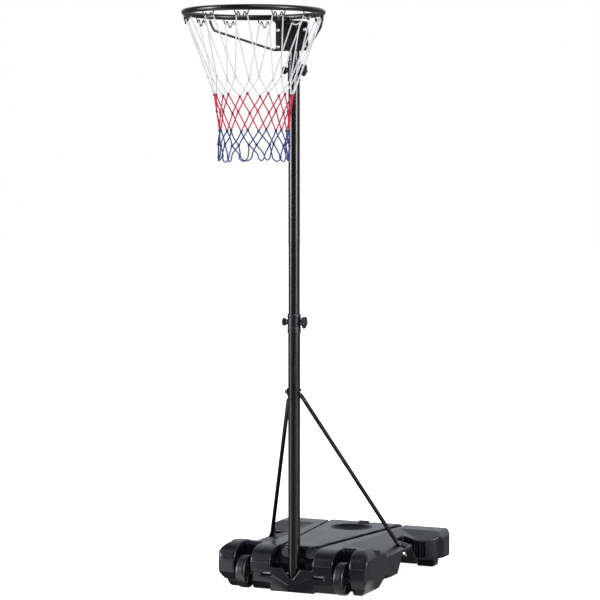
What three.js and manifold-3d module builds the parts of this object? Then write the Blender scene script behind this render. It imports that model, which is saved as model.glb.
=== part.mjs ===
// A portable netball post: a ring, its braces and a net on a telescopic steel pole, which stands
// on the wheel axle of a blow-moulded ballast base and is steadied by two struts.
// Millimetres, +Z up. The pole's axis meets the floor at the origin, the ring is towards -Y,
// the base runs back along +Y, and X is across the wheels.
import * as THREE from 'three';
import { mergeVertices } from 'three/addons/utils/BufferGeometryUtils.js';
import Module from 'manifold-3d';

// Fits: what touches keeps a hair of air, what turns or slides a little more
const seatGap = 0.3;
const runGap = 0.4;
const overrun = 2;

// Telescopic pole, three tubes of one wall
const lowerTubeRadius = 18.25;
const tubeWall = 0.8;
const poleFootZ = 33;
const lowerTubeTopZ = 836;
const midTubeTopZ = 1592;
const topTubeBottomZ = 880;
const topTubeTopZ = 1703;
const tubeSides = 24;
const plugSides = 16;
const smallSides = 16;
const cornerSteps = 3;
const lugSteps = 5;
const boltSides = 8;
const endPlugFlange = 3;
const endPlugDepth = 11;

// Clamp joints of the pole: a collar, a star knob and a round knob on one cross axis
const lowerClampZ = 818;
const upperClampZ = 1572;
const collarWall = 1.4;
const collarBelowScrew = 33;
const collarLip = 7;
const collarBossRadius = 8;
const collarBossLength = 3.2;
const clampScrewRadius = 4;
const starKnobRadius = 19.5;
const starLobeDepth = 4.5;
const starLobes = 5;
const starKnobWidth = 12.5;
const starHubRadius = 9;
const starHubLength = 3;
const starEdgeBevel = 1.6;
const roundKnobRadius = 12.5;
const roundKnobNeck = 7;
const roundKnobNeckLength = 5;
const roundKnobWidth = 9.5;

// Wheels and axle
const axleZ = 51;
const axleRadius = 4.5;
const axleEndInset = 18;
const wheelRadius = 50;
const wheelWidth = 30;
const wheelRimDepth = 9;
const wheelWebWidth = 8;
const wheelHubRadius = 12;
const wheelEdgeRadius = 4;
const wheelRibs = 6;
const wheelRibWidth = 4;
const wheelSides = 24;

// Base tank: plan
const laneHalf = 70;
const wheelWellWidth = 53;
const outerLugWidth = 60;
const outerLugProud = 4;
const deckHalfWidth = 243;
const blockOverhang = 57;
const blockLength = 161;
const blockRearY = 606;
const blockFrontRadius = 70;
const rampFootZ = 100;
const rampLength = 75;
const blockRearRadius = 52;
const blockEdgeRadius = 30;
const deckFrontY = 71.5;
const wheelWellRearY = 64;
const lugFrontY = -26;

// Base tank: heights
const deckFrontZ = 131;
const deckRearZ = 121;
const deckUndersideZ = 30;
const blockUndersideZ = 40;
const deckEdgeRadius = 14;
const lugShoulderZ = 87;
const outerLugTopZ = 137;
const outerLugTopY = 42;
const outerLugRearY = 150;
const outerLugToeZ = 48;
const lugToeY = 12;
const footRearY = 152;
const lugEdgeRadius = 38;
const lugCornerRadius = 16;
const innerLugToeZ = 57;
const sillFaceY = -17;
const footInset = 30;
const footFlareZ = 52;

// Base tank: pole lane between the inner lugs
const laneBackY = 22;
const laneWallSlopeZ = 81.5;
const lipThickness = 5;
const lipTopZ = 72;
const lipNotchZ = 42;
const lipNotchHalf = 30;
const lipNotchRoot = 6;
const lipSideZ = 54;
const lipChinHalf = 14;
const lipChinZ = 25;
const sillToeY = -5;
const sillToeZ = 28;
const axleWindowHalf = 6.5;
const axleWindowInset = 30;

// Base tank: raised centre wedge, its nose and the two grooves beside it
const wedgeFrontHalf = 50;
const wedgeRearHalf = 124;
const noseFrontY = 27;
const noseTopZ = 135;
const noseThickness = 13;
const noseSkin = 3.5;
const noseRadius = 22;
const grooveWidth = 13;
const grooveDepth = 13;
const grooveMouthX = 69;
const grooveMouthY = 108;

// Base tank: shoulders that fall to the side ledges
const shoulderInnerX = 115;
const shoulderFrontY = 96;
const ledgeZ = 98;

// Base tank: ball dish, side hollows, finger pockets in the blocks, rear feet
const dishSphereRadius = 111;
const dishRadius = 70;
const dishInset = 143;
const hollowDepth = 75;
const hollowLength = 178;
const hollowFrontLean = 46;
const hollowRearLean = 55;
const hollowToBlock = 24;
const hollowTopZ = 88;
const hollowWall = 7;
const pocketInset = 60;
const pocketProud = 13;
const pocketBottomZ = 46;
const pocketTopZ = 95;
const pocketDepth = 22;
const pocketRibs = 3;
const pocketRibWidth = 3;
const pocketRibHeight = 12;
const rearFootInset = 78;
const rearFootHalfX = 27;
const rearFootFlare = 10;
const rearFootLength = 52;
const rearFootSetback = 8;
const rearFootCorner = 12;

// Filler caps on the sloping wall of the pole lane, and the drain plug on the rear edge
const capX = 40;
const capZ = 110;
const capTiltDeg = 45;
const capRadius = 22.5;
const capThickness = 5;
const capRimWidth = 3;
const capFaceDepth = 2;
const capFlutes = 14;
const capFluteDepth = 1.5;
const capNeckRadius = 14;
const capNeckLength = 9;
const capBarWidth = 2.4;
const capBars = 2;
const plugInset = 35;
const plugRadius = 19;
const plugHeight = 6;
const plugStemRadius = 12;
const plugStemLength = 12;
const plugGripWidth = 6;
const plugGripHeight = 5;

// Struts from the pole to the side ledges
const strutTopZ = 607;
const midTubeAboveBolt = 15;
const strutFootInset = 17;
const strutFootRun = 44;
const strutRadius = 6.35;
const strutFlatHalfWidth = 9;
const strutFlatThickness = 3.2;
const strutEndMargin = 11;
const strutFlatLength = 13;
const strutBlendLength = 26;
const strutSides = 10;
const strutSpans = 5;
const strutSeatHalfX = 17;
const strutSeatHalfY = 24;
const strutBoltRadius = 3;
const strutBoltHeadRadius = 6;
const strutBoltHeadHeight = 4;
const strutNutHeight = 5.5;
const strutWasherThickness = 1.2;
const strutWasherRadius = 8;
const footBoltRadius = 4;
const footBoltHeadRadius = 8;
const footBoltHeadHeight = 4;
const wingNutRadius = 6.5;
const wingNutHeight = 9;
const wingNutSpan = 11;
const wingNutDrop = 16;
const wingThickness = 3;

// Ring, its bracket and its braces
const ringInnerDiameter = 380;
const ringRodRadius = 8;
const ringZ = 1722;
const ringForward = 290;
const ringSteps = 54;
const ringSides = 8;
const plateHalfWidth = 52;
const plateBottomZ = 1628;
const plateThickness = 3.5;
const plateBendRadius = 6;
const flangeFrontHalf = 22;
const flangeReach = 14;
const clampStripThickness = 3;
const bracketBoltX = 43;
const bracketBoltLowZ = 1640;
const bracketBoltHighZ = 1690;
const bracketBoltRadius = 3;
const bracketBoltHeadRadius = 5;
const bracketBoltHeadHeight = 3.4;
const bracketNutRadius = 5.5;
const bracketNutHeight = 5;
const braceRadius = 3.5;
const braceStartX = 34;
const braceLeaveX = 54;
const braceZ = 1631;
const braceBendX = 170;
const braceBendY = -200;
const braceBendZ = 1681;
const braceRingDeg = 65;
const braceBendReach = 14;

// Net hooks under the ring, and the knotted net in three colours
const hookCount = 12;
const hookWireRadius = 1.75;
const hookDip = 30;
const hookHalf = 20;
const hookShares = [[-1, 0], [-0.75, 0.6], [-0.5, 0.25], [-0.25, 0.6], [0, 1],
  [0.25, 0.6], [0.5, 0.25], [0.75, 0.6], [1, 0]];
const hookSeatShares = [0.75, 0.6];
const cordRadius = 2;
const knotHalf = 3.6;
const knotThick = 3.5;
const cordSides = 3;
const hookSides = 4;
const braceSides = 6;
const braceSteps = 16;
const firstKnotDrop = 186;
const whiteEndDrop = 229;
const redKnotDrop = 283;
const redEndDrop = 331;
const blueKnotDrop = 377;
const netLength = 428;
const firstKnotRadius = 130;
const whiteEndRadius = 114;
const redKnotRadius = 105;
const redEndRadius = 99;
const blueKnotRadius = 99;
const netMouthRadius = 102;

// Derived sizes
const midTubeBottomZ = strutTopZ + midTubeAboveBolt;
const midTubeRadius = lowerTubeRadius - tubeWall - seatGap;
const topTubeRadius = midTubeRadius - tubeWall - seatGap;
const outerLugOuterX = deckHalfWidth + outerLugProud;
const outerLugInnerX = outerLugOuterX - outerLugWidth;
const innerLugOuterX = outerLugInnerX - wheelWellWidth;
const footHalfX = outerLugOuterX - footInset;
const axleWindowX = innerLugOuterX - axleWindowInset;
const blockHalfWidth = deckHalfWidth + blockOverhang;
const blockFrontY = blockRearY - blockLength;
const rampTopY = blockFrontY + rampLength;
const dishY = blockRearY - dishInset;
const plugY = blockRearY - plugInset;
const hollowInnerX = deckHalfWidth - hollowDepth;
const hollowRearY = blockFrontY - hollowToBlock;
const hollowFrontY = hollowRearY - hollowLength;
const hollowTopFrontY = hollowFrontY + hollowFrontLean;
const hollowTopRearY = hollowRearY - hollowRearLean;
const pocketInnerX = deckHalfWidth - pocketInset;
const pocketOuterX = deckHalfWidth + pocketProud;
const rearFootX = blockHalfWidth - rearFootInset;
const rearFootRearY = blockRearY - rearFootSetback;
const rearFootFrontY = rearFootRearY - rearFootLength;
const strutFootY = hollowTopFrontY + strutFootRun;
const axleHalfLength = outerLugOuterX - axleEndInset;
const strutFootX = deckHalfWidth - strutFootInset;
const strutSideX = lowerTubeRadius + seatGap + strutFlatThickness / 2;
const ringRadius = ringInnerDiameter / 2 + ringRodRadius;
const strutPlateZ = ledgeZ + seatGap + strutFlatThickness / 2;

const wasm = await Module();
wasm.setup();

// Solid helpers
function solidOf(geometry) {
  const bare = geometry.clone();
  bare.deleteAttribute('normal');
  bare.deleteAttribute('uv');
  const merged = mergeVertices(bare, 1e-4);
  return new wasm.Manifold(new wasm.Mesh({
    numProp: 3,
    vertProperties: new Float32Array(merged.attributes.position.array),
    triVerts: new Uint32Array(merged.index.array),
  }));
}

function geometryOf(solid) {
  const mesh = solid.getMesh();
  const points = new Float32Array((mesh.vertProperties.length / mesh.numProp) * 3);
  for (let i = 0; i < points.length / 3; i += 1) {
    points.set(mesh.vertProperties.subarray(i * mesh.numProp, i * mesh.numProp + 3), i * 3);
  }
  const geometry = new THREE.BufferGeometry();
  geometry.setAttribute('position', new THREE.BufferAttribute(points, 3));
  geometry.setIndex(new THREE.BufferAttribute(new Uint32Array(mesh.triVerts), 1));
  geometry.computeVertexNormals();
  return geometry;
}

function joined(geometries) {
  return geometries.map(solidOf).reduce((whole, piece) => whole.add(piece));
}

function less(solid, geometries) {
  return geometries.map(solidOf).reduce((whole, tool) => whole.subtract(tool), solid);
}

function carve(geometry, tools) {
  return geometryOf(less(solidOf(geometry), tools));
}

// Shape helpers: blocks, rods, turned pieces and extrusions along each axis
function block(x0, x1, y0, y1, z0, z1) {
  const geometry = new THREE.BoxGeometry(x1 - x0, y1 - y0, z1 - z0);
  return geometry.translate((x0 + x1) / 2, (y0 + y1) / 2, (z0 + z1) / 2);
}

function rodBetween(start, end, radius, sides, endRadius = radius) {
  const along = end.clone().sub(start);
  const geometry = new THREE.CylinderGeometry(endRadius, radius, along.length(), sides);
  const turn = new THREE.Quaternion().setFromUnitVectors(
    new THREE.Vector3(0, 1, 0), along.clone().normalize());
  geometry.applyQuaternion(turn);
  return geometry.translate(...start.clone().add(end).divideScalar(2).toArray());
}

function rodX(x0, x1, y, z, radius, sides) {
  return rodBetween(new THREE.Vector3(x0, y, z), new THREE.Vector3(x1, y, z), radius, sides);
}

function rodZ(x, y, z0, z1, radius, sides) {
  return rodBetween(new THREE.Vector3(x, y, z0), new THREE.Vector3(x, y, z1), radius, sides);
}

// A profile of [radius, height] points is turned about Z, and then laid along an axis
function turned(profile, sides) {
  const geometry = new THREE.LatheGeometry(profile.map(([r, h]) => new THREE.Vector2(r, h)), sides);
  return geometry.rotateX(Math.PI / 2);
}

function turnedX(profile, sides, sign) {
  return turned(profile, sides).rotateY(sign * Math.PI / 2);
}

function outline(points) {
  return new THREE.Shape(points.map(([a, b]) => new THREE.Vector2(a, b)));
}

function prism(shape, depth, curveSegments = 6) {
  return new THREE.ExtrudeGeometry(shape, { depth, bevelEnabled: false, curveSegments });
}

function alongZ(shape, z0, z1, curveSegments) {
  return prism(shape, z1 - z0, curveSegments).translate(0, 0, z0);
}

function alongX(shape, x0, x1, curveSegments) {
  const geometry = prism(shape, x1 - x0, curveSegments);
  const basis = new THREE.Matrix4().makeBasis(
    new THREE.Vector3(0, 1, 0), new THREE.Vector3(0, 0, 1), new THREE.Vector3(1, 0, 0));
  return geometry.applyMatrix4(basis).translate(x0, 0, 0);
}

function alongY(shape, y0, y1, curveSegments) {
  const geometry = prism(shape, y1 - y0, curveSegments);
  const basis = new THREE.Matrix4().makeBasis(
    new THREE.Vector3(1, 0, 0), new THREE.Vector3(0, 0, 1), new THREE.Vector3(0, -1, 0));
  return geometry.applyMatrix4(basis).translate(0, y1, 0);
}

// A round bar bent along points, with straight ends
function bentBar(points, radius, sides, steps) {
  const section = new THREE.Shape();
  for (let i = 0; i < sides; i += 1) {
    const turn = (i / sides) * 2 * Math.PI;
    const [a, b] = [radius * Math.cos(turn), radius * Math.sin(turn)];
    if (i === 0) section.moveTo(a, b);
    else section.lineTo(a, b);
  }
  const extrudePath = new THREE.CatmullRomCurve3(points, false, 'centripetal');
  return geometryOf(solidOf(
    new THREE.ExtrudeGeometry(section, { steps, extrudePath, bevelEnabled: false })));
}

// A skin through rings of equally many points, closed at both ends
function loft(rings) {
  const count = rings[0].length;
  const points = rings.flat();
  const faces = [];
  for (let i = 0; i + 1 < rings.length; i += 1) {
    for (let j = 0; j < count; j += 1) {
      const [a, b] = [i * count + j, i * count + ((j + 1) % count)];
      faces.push(a, b, b + count, a, b + count, a + count);
    }
  }
  const last = (rings.length - 1) * count;
  for (let j = 1; j + 1 < count; j += 1) {
    faces.push(0, j + 1, j, last, last + j, last + j + 1);
  }
  const geometry = new THREE.BufferGeometry().setFromPoints(points);
  geometry.setIndex(faces);
  return signedVolume(points, faces) < 0 ? turnedInsideOut(geometry) : geometry;
}

function signedVolume(points, faces) {
  let volume = 0;
  for (let i = 0; i < faces.length; i += 3) {
    const [a, b, c] = [points[faces[i]], points[faces[i + 1]], points[faces[i + 2]]];
    volume += a.dot(b.clone().cross(c));
  }
  return volume;
}

function turnedInsideOut(geometry) {
  const faces = geometry.index.array;
  for (let i = 0; i < faces.length; i += 3) {
    [faces[i + 1], faces[i + 2]] = [faces[i + 2], faces[i + 1]];
  }
  return geometry;
}

function mirroredX(geometry) {
  return turnedInsideOut(geometry.clone().scale(-1, 1, 1));
}

// Finishes
const finish = {
  tank: { color: 0x3b3b42, roughness: 0.55, metalness: 0 },
  moulding: { color: 0x1b1b1d, roughness: 0.5, metalness: 0 },
  steel: { color: 0x17171a, roughness: 0.38, metalness: 0.3 },
  zinc: { color: 0xc4c6c8, roughness: 0.3, metalness: 1 },
  tyre: { color: 0x202022, roughness: 0.45, metalness: 0 },
  white: { color: 0xeeeeee, roughness: 0.9, metalness: 0 },
  red: { color: 0xb01c2c, roughness: 0.9, metalness: 0 },
  blue: { color: 0x2554a8, roughness: 0.9, metalness: 0 },
};

const post = new THREE.Group();

function place(name, geometry, look, parent = post) {
  const mesh = new THREE.Mesh(geometry, new THREE.MeshStandardMaterial(finish[look]));
  mesh.name = name;
  parent.add(mesh);
  return mesh;
}

// Height of the sloping deck, which falls a little to the rear
function deckZ(y) {
  const share = (y - deckFrontY) / (blockRearY - deckFrontY);
  return deckFrontZ + (deckRearZ - deckFrontZ) * share;
}

// Height of the sloping wall behind the pole
function laneWallZ(y) {
  const share = (y - laneBackY) / (deckFrontY - laneBackY);
  return laneWallSlopeZ + (deckFrontZ - laneWallSlopeZ) * share;
}

// Half-width of the centre wedge at y
function wedgeHalf(y) {
  const share = (y - noseFrontY) / (blockRearY - noseFrontY);
  return wedgeFrontHalf + (wedgeRearHalf - wedgeFrontHalf) * share;
}

// Plan of the tank behind the lugs, with the wider blocks at the rear
function deckPlan() {
  const shape = new THREE.Shape();
  const step = blockFrontY - (blockHalfWidth - deckHalfWidth) / 2;
  shape.moveTo(-deckHalfWidth, laneBackY);
  shape.lineTo(deckHalfWidth, laneBackY);
  shape.lineTo(deckHalfWidth, step);
  shape.lineTo(blockHalfWidth - blockFrontRadius, blockFrontY);
  shape.absarc(blockHalfWidth - blockFrontRadius, blockFrontY + blockFrontRadius,
    blockFrontRadius, -Math.PI / 2, 0, false);
  shape.absarc(blockHalfWidth - blockRearRadius, blockRearY - blockRearRadius,
    blockRearRadius, 0, Math.PI / 2, false);
  shape.absarc(-blockHalfWidth + blockRearRadius, blockRearY - blockRearRadius,
    blockRearRadius, Math.PI / 2, Math.PI, false);
  shape.absarc(-blockHalfWidth + blockFrontRadius, blockFrontY + blockFrontRadius,
    blockFrontRadius, Math.PI, 1.5 * Math.PI, false);
  shape.lineTo(-deckHalfWidth, step);
  shape.closePath();
  return shape;
}

// Side view of the deck: sloping lane wall at the front, rounded top edge at the rear
function deckSide() {
  const shape = new THREE.Shape();
  shape.moveTo(laneBackY, 0);
  shape.lineTo(laneBackY, laneWallSlopeZ);
  shape.lineTo(deckFrontY, deckFrontZ);
  shape.lineTo(blockRearY - deckEdgeRadius, deckZ(blockRearY - deckEdgeRadius));
  shape.absarc(blockRearY - deckEdgeRadius, deckZ(blockRearY - deckEdgeRadius) - deckEdgeRadius,
    deckEdgeRadius, Math.PI / 2, 0, true);
  shape.lineTo(blockRearY, blockUndersideZ + overrun);
  shape.lineTo(blockRearY - overrun, blockUndersideZ);
  shape.lineTo(blockFrontY, blockUndersideZ);
  shape.lineTo(blockFrontY - deckEdgeRadius, deckUndersideZ);
  shape.lineTo(footRearY, deckUndersideZ);
  shape.lineTo(footRearY - deckEdgeRadius, 0);
  shape.closePath();
  return shape;
}

// Front view of the deck: rounded shoulders over the blocks
function deckFront() {
  const shape = new THREE.Shape();
  const top = deckFrontZ + overrun;
  const round = deckZ(blockRearY - blockRearRadius);
  const edge = blockEdgeRadius;
  shape.moveTo(-blockHalfWidth, 0);
  shape.lineTo(blockHalfWidth, 0);
  shape.lineTo(blockHalfWidth, round - edge);
  shape.absarc(blockHalfWidth - edge, round - edge, edge, 0, Math.PI / 2, false);
  shape.lineTo(deckHalfWidth, top);
  shape.lineTo(-deckHalfWidth, top);
  shape.absarc(-blockHalfWidth + edge, round - edge, edge, Math.PI / 2, Math.PI, false);
  shape.closePath();
  return shape;
}

// A lug in side view: the dome from its shoulder up to its top, and the round fall behind it
// where the lug ends lower than it stands
function lugSide(topY, topZ, toe) {
  const shape = new THREE.Shape();
  shape.moveTo(lugFrontY, toe[0][1]);
  shape.lineTo(lugFrontY, lugShoulderZ);
  shape.absellipse(topY, lugShoulderZ, topY - lugFrontY, topZ - lugShoulderZ,
    Math.PI, Math.PI / 2, true, 0);
  const [fallY, fallZ] = toe[1];
  if (fallZ < topZ)
    shape.absellipse(topY, fallZ, fallY - topY, topZ - fallZ, Math.PI / 2, 0, true, 0);
  toe.slice(1).forEach(([y, z]) => shape.lineTo(y, z));
  shape.closePath();
  return shape;
}

function innerLug() {
  const rear = deckFrontY + overrun;
  const toe = [[lugFrontY, innerLugToeZ], [rear, deckFrontZ], [rear, 0], [sillToeY, 0],
    [sillFaceY, sillToeZ], [sillFaceY, innerLugToeZ]];
  return alongX(lugSide(outerLugTopY, deckFrontZ, toe), laneHalf, innerLugOuterX);
}

// The outer lug is a pod: domed in side view and rounded over its outer edge
function outerLug() {
  const toe = [[lugFrontY, outerLugToeZ], [outerLugRearY, ledgeZ], [outerLugRearY, 0], [lugToeY, 0]];
  const side = solidOf(alongX(lugSide(outerLugTopY, outerLugTopZ, toe), outerLugInnerX,
    outerLugOuterX, lugSteps));
  const front = new THREE.Shape();
  front.moveTo(outerLugInnerX, 0);
  front.lineTo(outerLugOuterX, 0);
  front.lineTo(outerLugOuterX, outerLugTopZ - lugEdgeRadius);
  front.absarc(outerLugOuterX - lugEdgeRadius, outerLugTopZ - lugEdgeRadius, lugEdgeRadius,
    0, Math.PI / 2, false);
  front.lineTo(outerLugInnerX, outerLugTopZ);
  front.closePath();
  const corner = new THREE.Shape();
  corner.moveTo(outerLugInnerX, outerLugRearY);
  corner.lineTo(outerLugInnerX, lugFrontY);
  corner.absarc(outerLugOuterX - lugCornerRadius, lugFrontY + lugCornerRadius, lugCornerRadius,
    1.5 * Math.PI, 2 * Math.PI, false);
  corner.lineTo(outerLugOuterX, outerLugRearY);
  corner.closePath();
  return side.intersect(solidOf(alongY(front, lugFrontY, outerLugRearY, lugSteps)))
    .intersect(solidOf(alongZ(corner, 0, outerLugTopZ, cornerSteps)));
}

// What is cut under each side at the front, so that it leans in to the foot
function footFlare() {
  const far = outerLugOuterX + overrun;
  const lean = (outerLugOuterX - footHalfX) / footFlareZ;
  return solidOf(alongY(outline([
    [footHalfX - lean * overrun, -overrun], [far, -overrun], [far, footFlareZ + overrun / lean],
  ]), lugFrontY - overrun, footRearY + overrun));
}

// The sill across the lane, and the apron on its front: a chin with a notch that shows the
// pole's foot, kept clear of the pole
function frontLip() {
  const reach = laneHalf + overrun;
  const sill = solidOf(alongX(outline([
    [sillFaceY, sillToeZ], [sillToeY, 0], [laneBackY, 0], [laneBackY, sillToeZ],
  ]), -reach, reach));
  const backY = sillFaceY + lipThickness;
  const rise = solidOf(block(-reach, reach, sillFaceY, backY, 0, innerLugToeZ));
  const apron = outline([
    [-reach, lipTopZ], [-reach, lipSideZ], [-lipChinHalf, lipChinZ], [lipChinHalf, lipChinZ],
    [reach, lipSideZ], [reach, lipTopZ],
  ]);
  const notch = outline([
    [-lipNotchHalf, lipTopZ + overrun], [-lipNotchRoot, lipNotchZ],
    [lipNotchRoot, lipNotchZ], [lipNotchHalf, lipTopZ + overrun],
  ]);
  const pole = rodZ(0, 0, sillToeZ, lipTopZ + overrun, lowerTubeRadius + runGap, tubeSides);
  const front = solidOf(alongY(apron, lugFrontY, sillFaceY + overrun));
  return less(sill.add(less(front.add(rise), [pole])),
    [alongY(notch, lugFrontY - overrun, backY + overrun)]);
}

// The wedge overhangs the lane as a rounded nose, a little higher than the deck
function nose() {
  const shape = new THREE.Shape();
  const rear = deckFrontY + shoulderFrontY;
  shape.moveTo(-wedgeHalf(rear), rear);
  shape.lineTo(-wedgeFrontHalf, noseFrontY + noseRadius);
  shape.absarc(-wedgeFrontHalf + noseRadius, noseFrontY + noseRadius, noseRadius,
    Math.PI, 1.5 * Math.PI, false);
  shape.absarc(wedgeFrontHalf - noseRadius, noseFrontY + noseRadius, noseRadius,
    1.5 * Math.PI, 2 * Math.PI, false);
  shape.lineTo(wedgeHalf(rear), rear);
  shape.closePath();
  const plan = solidOf(alongZ(shape, noseTopZ - noseThickness, noseTopZ));
  const side = outline([
    [noseFrontY, noseTopZ - noseThickness], [noseFrontY, noseTopZ - noseThickness / 2],
    [noseFrontY + noseThickness / 2, noseTopZ], [rear, deckZ(rear)],
    [rear, noseTopZ - noseThickness],
  ]);
  const inside = noseFrontY + noseSkin;
  const hood = outline([
    [inside, laneWallZ(inside)], [inside, noseTopZ - noseSkin],
    [deckFrontY, noseTopZ - noseSkin], [deckFrontY, deckFrontZ],
  ]);
  return plan.intersect(solidOf(alongX(side, -wedgeRearHalf, wedgeRearHalf)))
    .subtract(solidOf(alongX(hood, -wedgeRearHalf, wedgeRearHalf)));
}

// One groove beside the wedge, cut from front to rear on the side given by sign
function groove(sign) {
  const [front, rear] = [deckFrontY - overrun, blockRearY + overrun];
  const top = deckFrontZ + overrun;
  const shape = outline([
    [sign * wedgeHalf(front), front], [sign * grooveMouthX, front],
    [sign * (wedgeHalf(grooveMouthY) + grooveWidth), grooveMouthY],
    [sign * (wedgeHalf(rear) + grooveWidth), rear], [sign * wedgeHalf(rear), rear],
  ]);
  const floor = outline([
    [front, deckZ(front) - grooveDepth], [rear, deckZ(rear) - grooveDepth],
    [rear, top], [front, top],
  ]);
  const plan = solidOf(alongZ(shape, deckRearZ - grooveDepth - overrun, top));
  return plan.intersect(solidOf(alongX(floor, -blockHalfWidth, blockHalfWidth)));
}

// What is cut from the right shoulder, so that the deck falls to the side ledge, which climbs
// again to the top of the rear block
function shoulderCut() {
  const fall = (deckFrontZ - ledgeZ) / (deckHalfWidth - shoulderInnerX);
  const far = blockHalfWidth + overrun;
  const top = outerLugTopZ + overrun;
  const slope = outline([
    [shoulderInnerX, deckFrontZ], [far, deckFrontZ - fall * (far - shoulderInnerX)],
    [far, top], [shoulderInnerX, top],
  ]);
  const low = ledgeZ - fall * (far - deckHalfWidth) - overrun;
  const climb = (rampTopY - blockFrontY) / (deckZ(rampTopY) - rampFootZ);
  const side = outline([
    [shoulderFrontY, low], [blockFrontY - climb * (rampFootZ - low), low],
    [rampTopY + climb * (top - deckZ(rampTopY)), top], [shoulderFrontY, top],
  ]);
  return solidOf(alongY(slope, shoulderFrontY, blockRearY))
    .intersect(solidOf(alongX(side, shoulderInnerX, far)));
}

function sideHollow() {
  const shape = outline([
    [hollowFrontY, deckUndersideZ - overrun], [hollowTopFrontY, hollowTopZ],
    [hollowTopRearY, hollowTopZ - overrun], [hollowRearY, deckUndersideZ - overrun],
  ]);
  return alongX(shape, hollowInnerX, deckHalfWidth + overrun);
}

// A pocket for the fingers in the block's front, open upwards behind the side hollow
function fingerPocket() {
  const back = blockFrontY + pocketDepth;
  const outlet = deckFrontZ;
  const lean = (hollowRearY - hollowTopRearY) / (hollowTopZ - deckUndersideZ);
  const shape = outline([
    [hollowTopRearY + hollowWall, outlet], [hollowTopRearY + hollowWall, hollowTopZ],
    [hollowRearY + hollowWall - lean * (pocketBottomZ - deckUndersideZ), pocketBottomZ],
    [back, pocketBottomZ], [back, pocketTopZ], [blockFrontY, pocketTopZ], [blockFrontY, outlet],
  ]);
  const pocket = solidOf(alongX(shape, pocketInnerX, pocketOuterX));
  const pitch = (pocketOuterX - pocketInnerX) / (pocketRibs + 1);
  const ribs = [];
  for (let i = 1; i <= pocketRibs; i += 1) {
    const x = pocketInnerX + i * pitch;
    ribs.push(block(x - pocketRibWidth / 2, x + pocketRibWidth / 2, back - pocketRibHeight,
      back + overrun, pocketBottomZ - overrun, pocketTopZ + overrun));
  }
  return less(pocket, ribs);
}

// The axle lies in slots that open under the lugs, and shows in a window in each inner lug
function axleSlot(x0, x1) {
  const half = axleRadius + runGap;
  const round = rodX(x0, x1, 0, axleZ, half, tubeSides);
  return solidOf(round).add(solidOf(block(x0, x1, -half, half, -overrun, axleZ)));
}

function axleWindow() {
  return block(laneHalf - overrun, axleWindowX, lugFrontY - overrun, 0,
    axleZ - axleWindowHalf, axleZ + axleWindowHalf);
}

// A foot under a rear block: flat below, wider where it joins the block, its corners cut off
function rearFoot() {
  const [low, high] = [rearFootHalfX, rearFootHalfX + rearFootFlare];
  const top = blockUndersideZ + overrun;
  const front = outline([
    [rearFootX - low, 0], [rearFootX + low, 0], [rearFootX + high, top], [rearFootX - high, top],
  ]);
  const cut = rearFootCorner;
  const [x0, x1] = [rearFootX - high, rearFootX + high];
  const plan = outline([
    [x0 + cut, rearFootFrontY], [x1 - cut, rearFootFrontY], [x1, rearFootFrontY + cut],
    [x1, rearFootRearY - cut], [x1 - cut, rearFootRearY], [x0 + cut, rearFootRearY],
    [x0, rearFootRearY - cut], [x0, rearFootFrontY + cut],
  ]);
  return solidOf(alongY(front, rearFootFrontY, rearFootRearY))
    .intersect(solidOf(alongZ(plan, 0, top)));
}

// Frame of a filler cap: its centre on the sloping wall, and the way it points
function capFrame(sign) {
  const tilt = THREE.MathUtils.degToRad(capTiltDeg);
  const rise = (capZ - laneWallSlopeZ) / (deckFrontZ - laneWallSlopeZ);
  const y = laneBackY + (deckFrontY - laneBackY) * rise;
  const frame = new THREE.Matrix4().makeRotationX(Math.PI / 2 - tilt);
  return frame.setPosition(sign * capX, y, capZ);
}

function capBore(sign) {
  const bore = turned([[0, -capNeckLength - overrun], [capNeckRadius + runGap,
    -capNeckLength - overrun], [capNeckRadius + runGap, overrun], [0, overrun]], tubeSides);
  return bore.applyMatrix4(capFrame(sign));
}

function strutSeat() {
  return block(strutFootX - strutSeatHalfX - seatGap, blockHalfWidth, strutFootY - strutSeatHalfY,
    strutFootY + strutSeatHalfY, ledgeZ, deckFrontZ);
}

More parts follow.
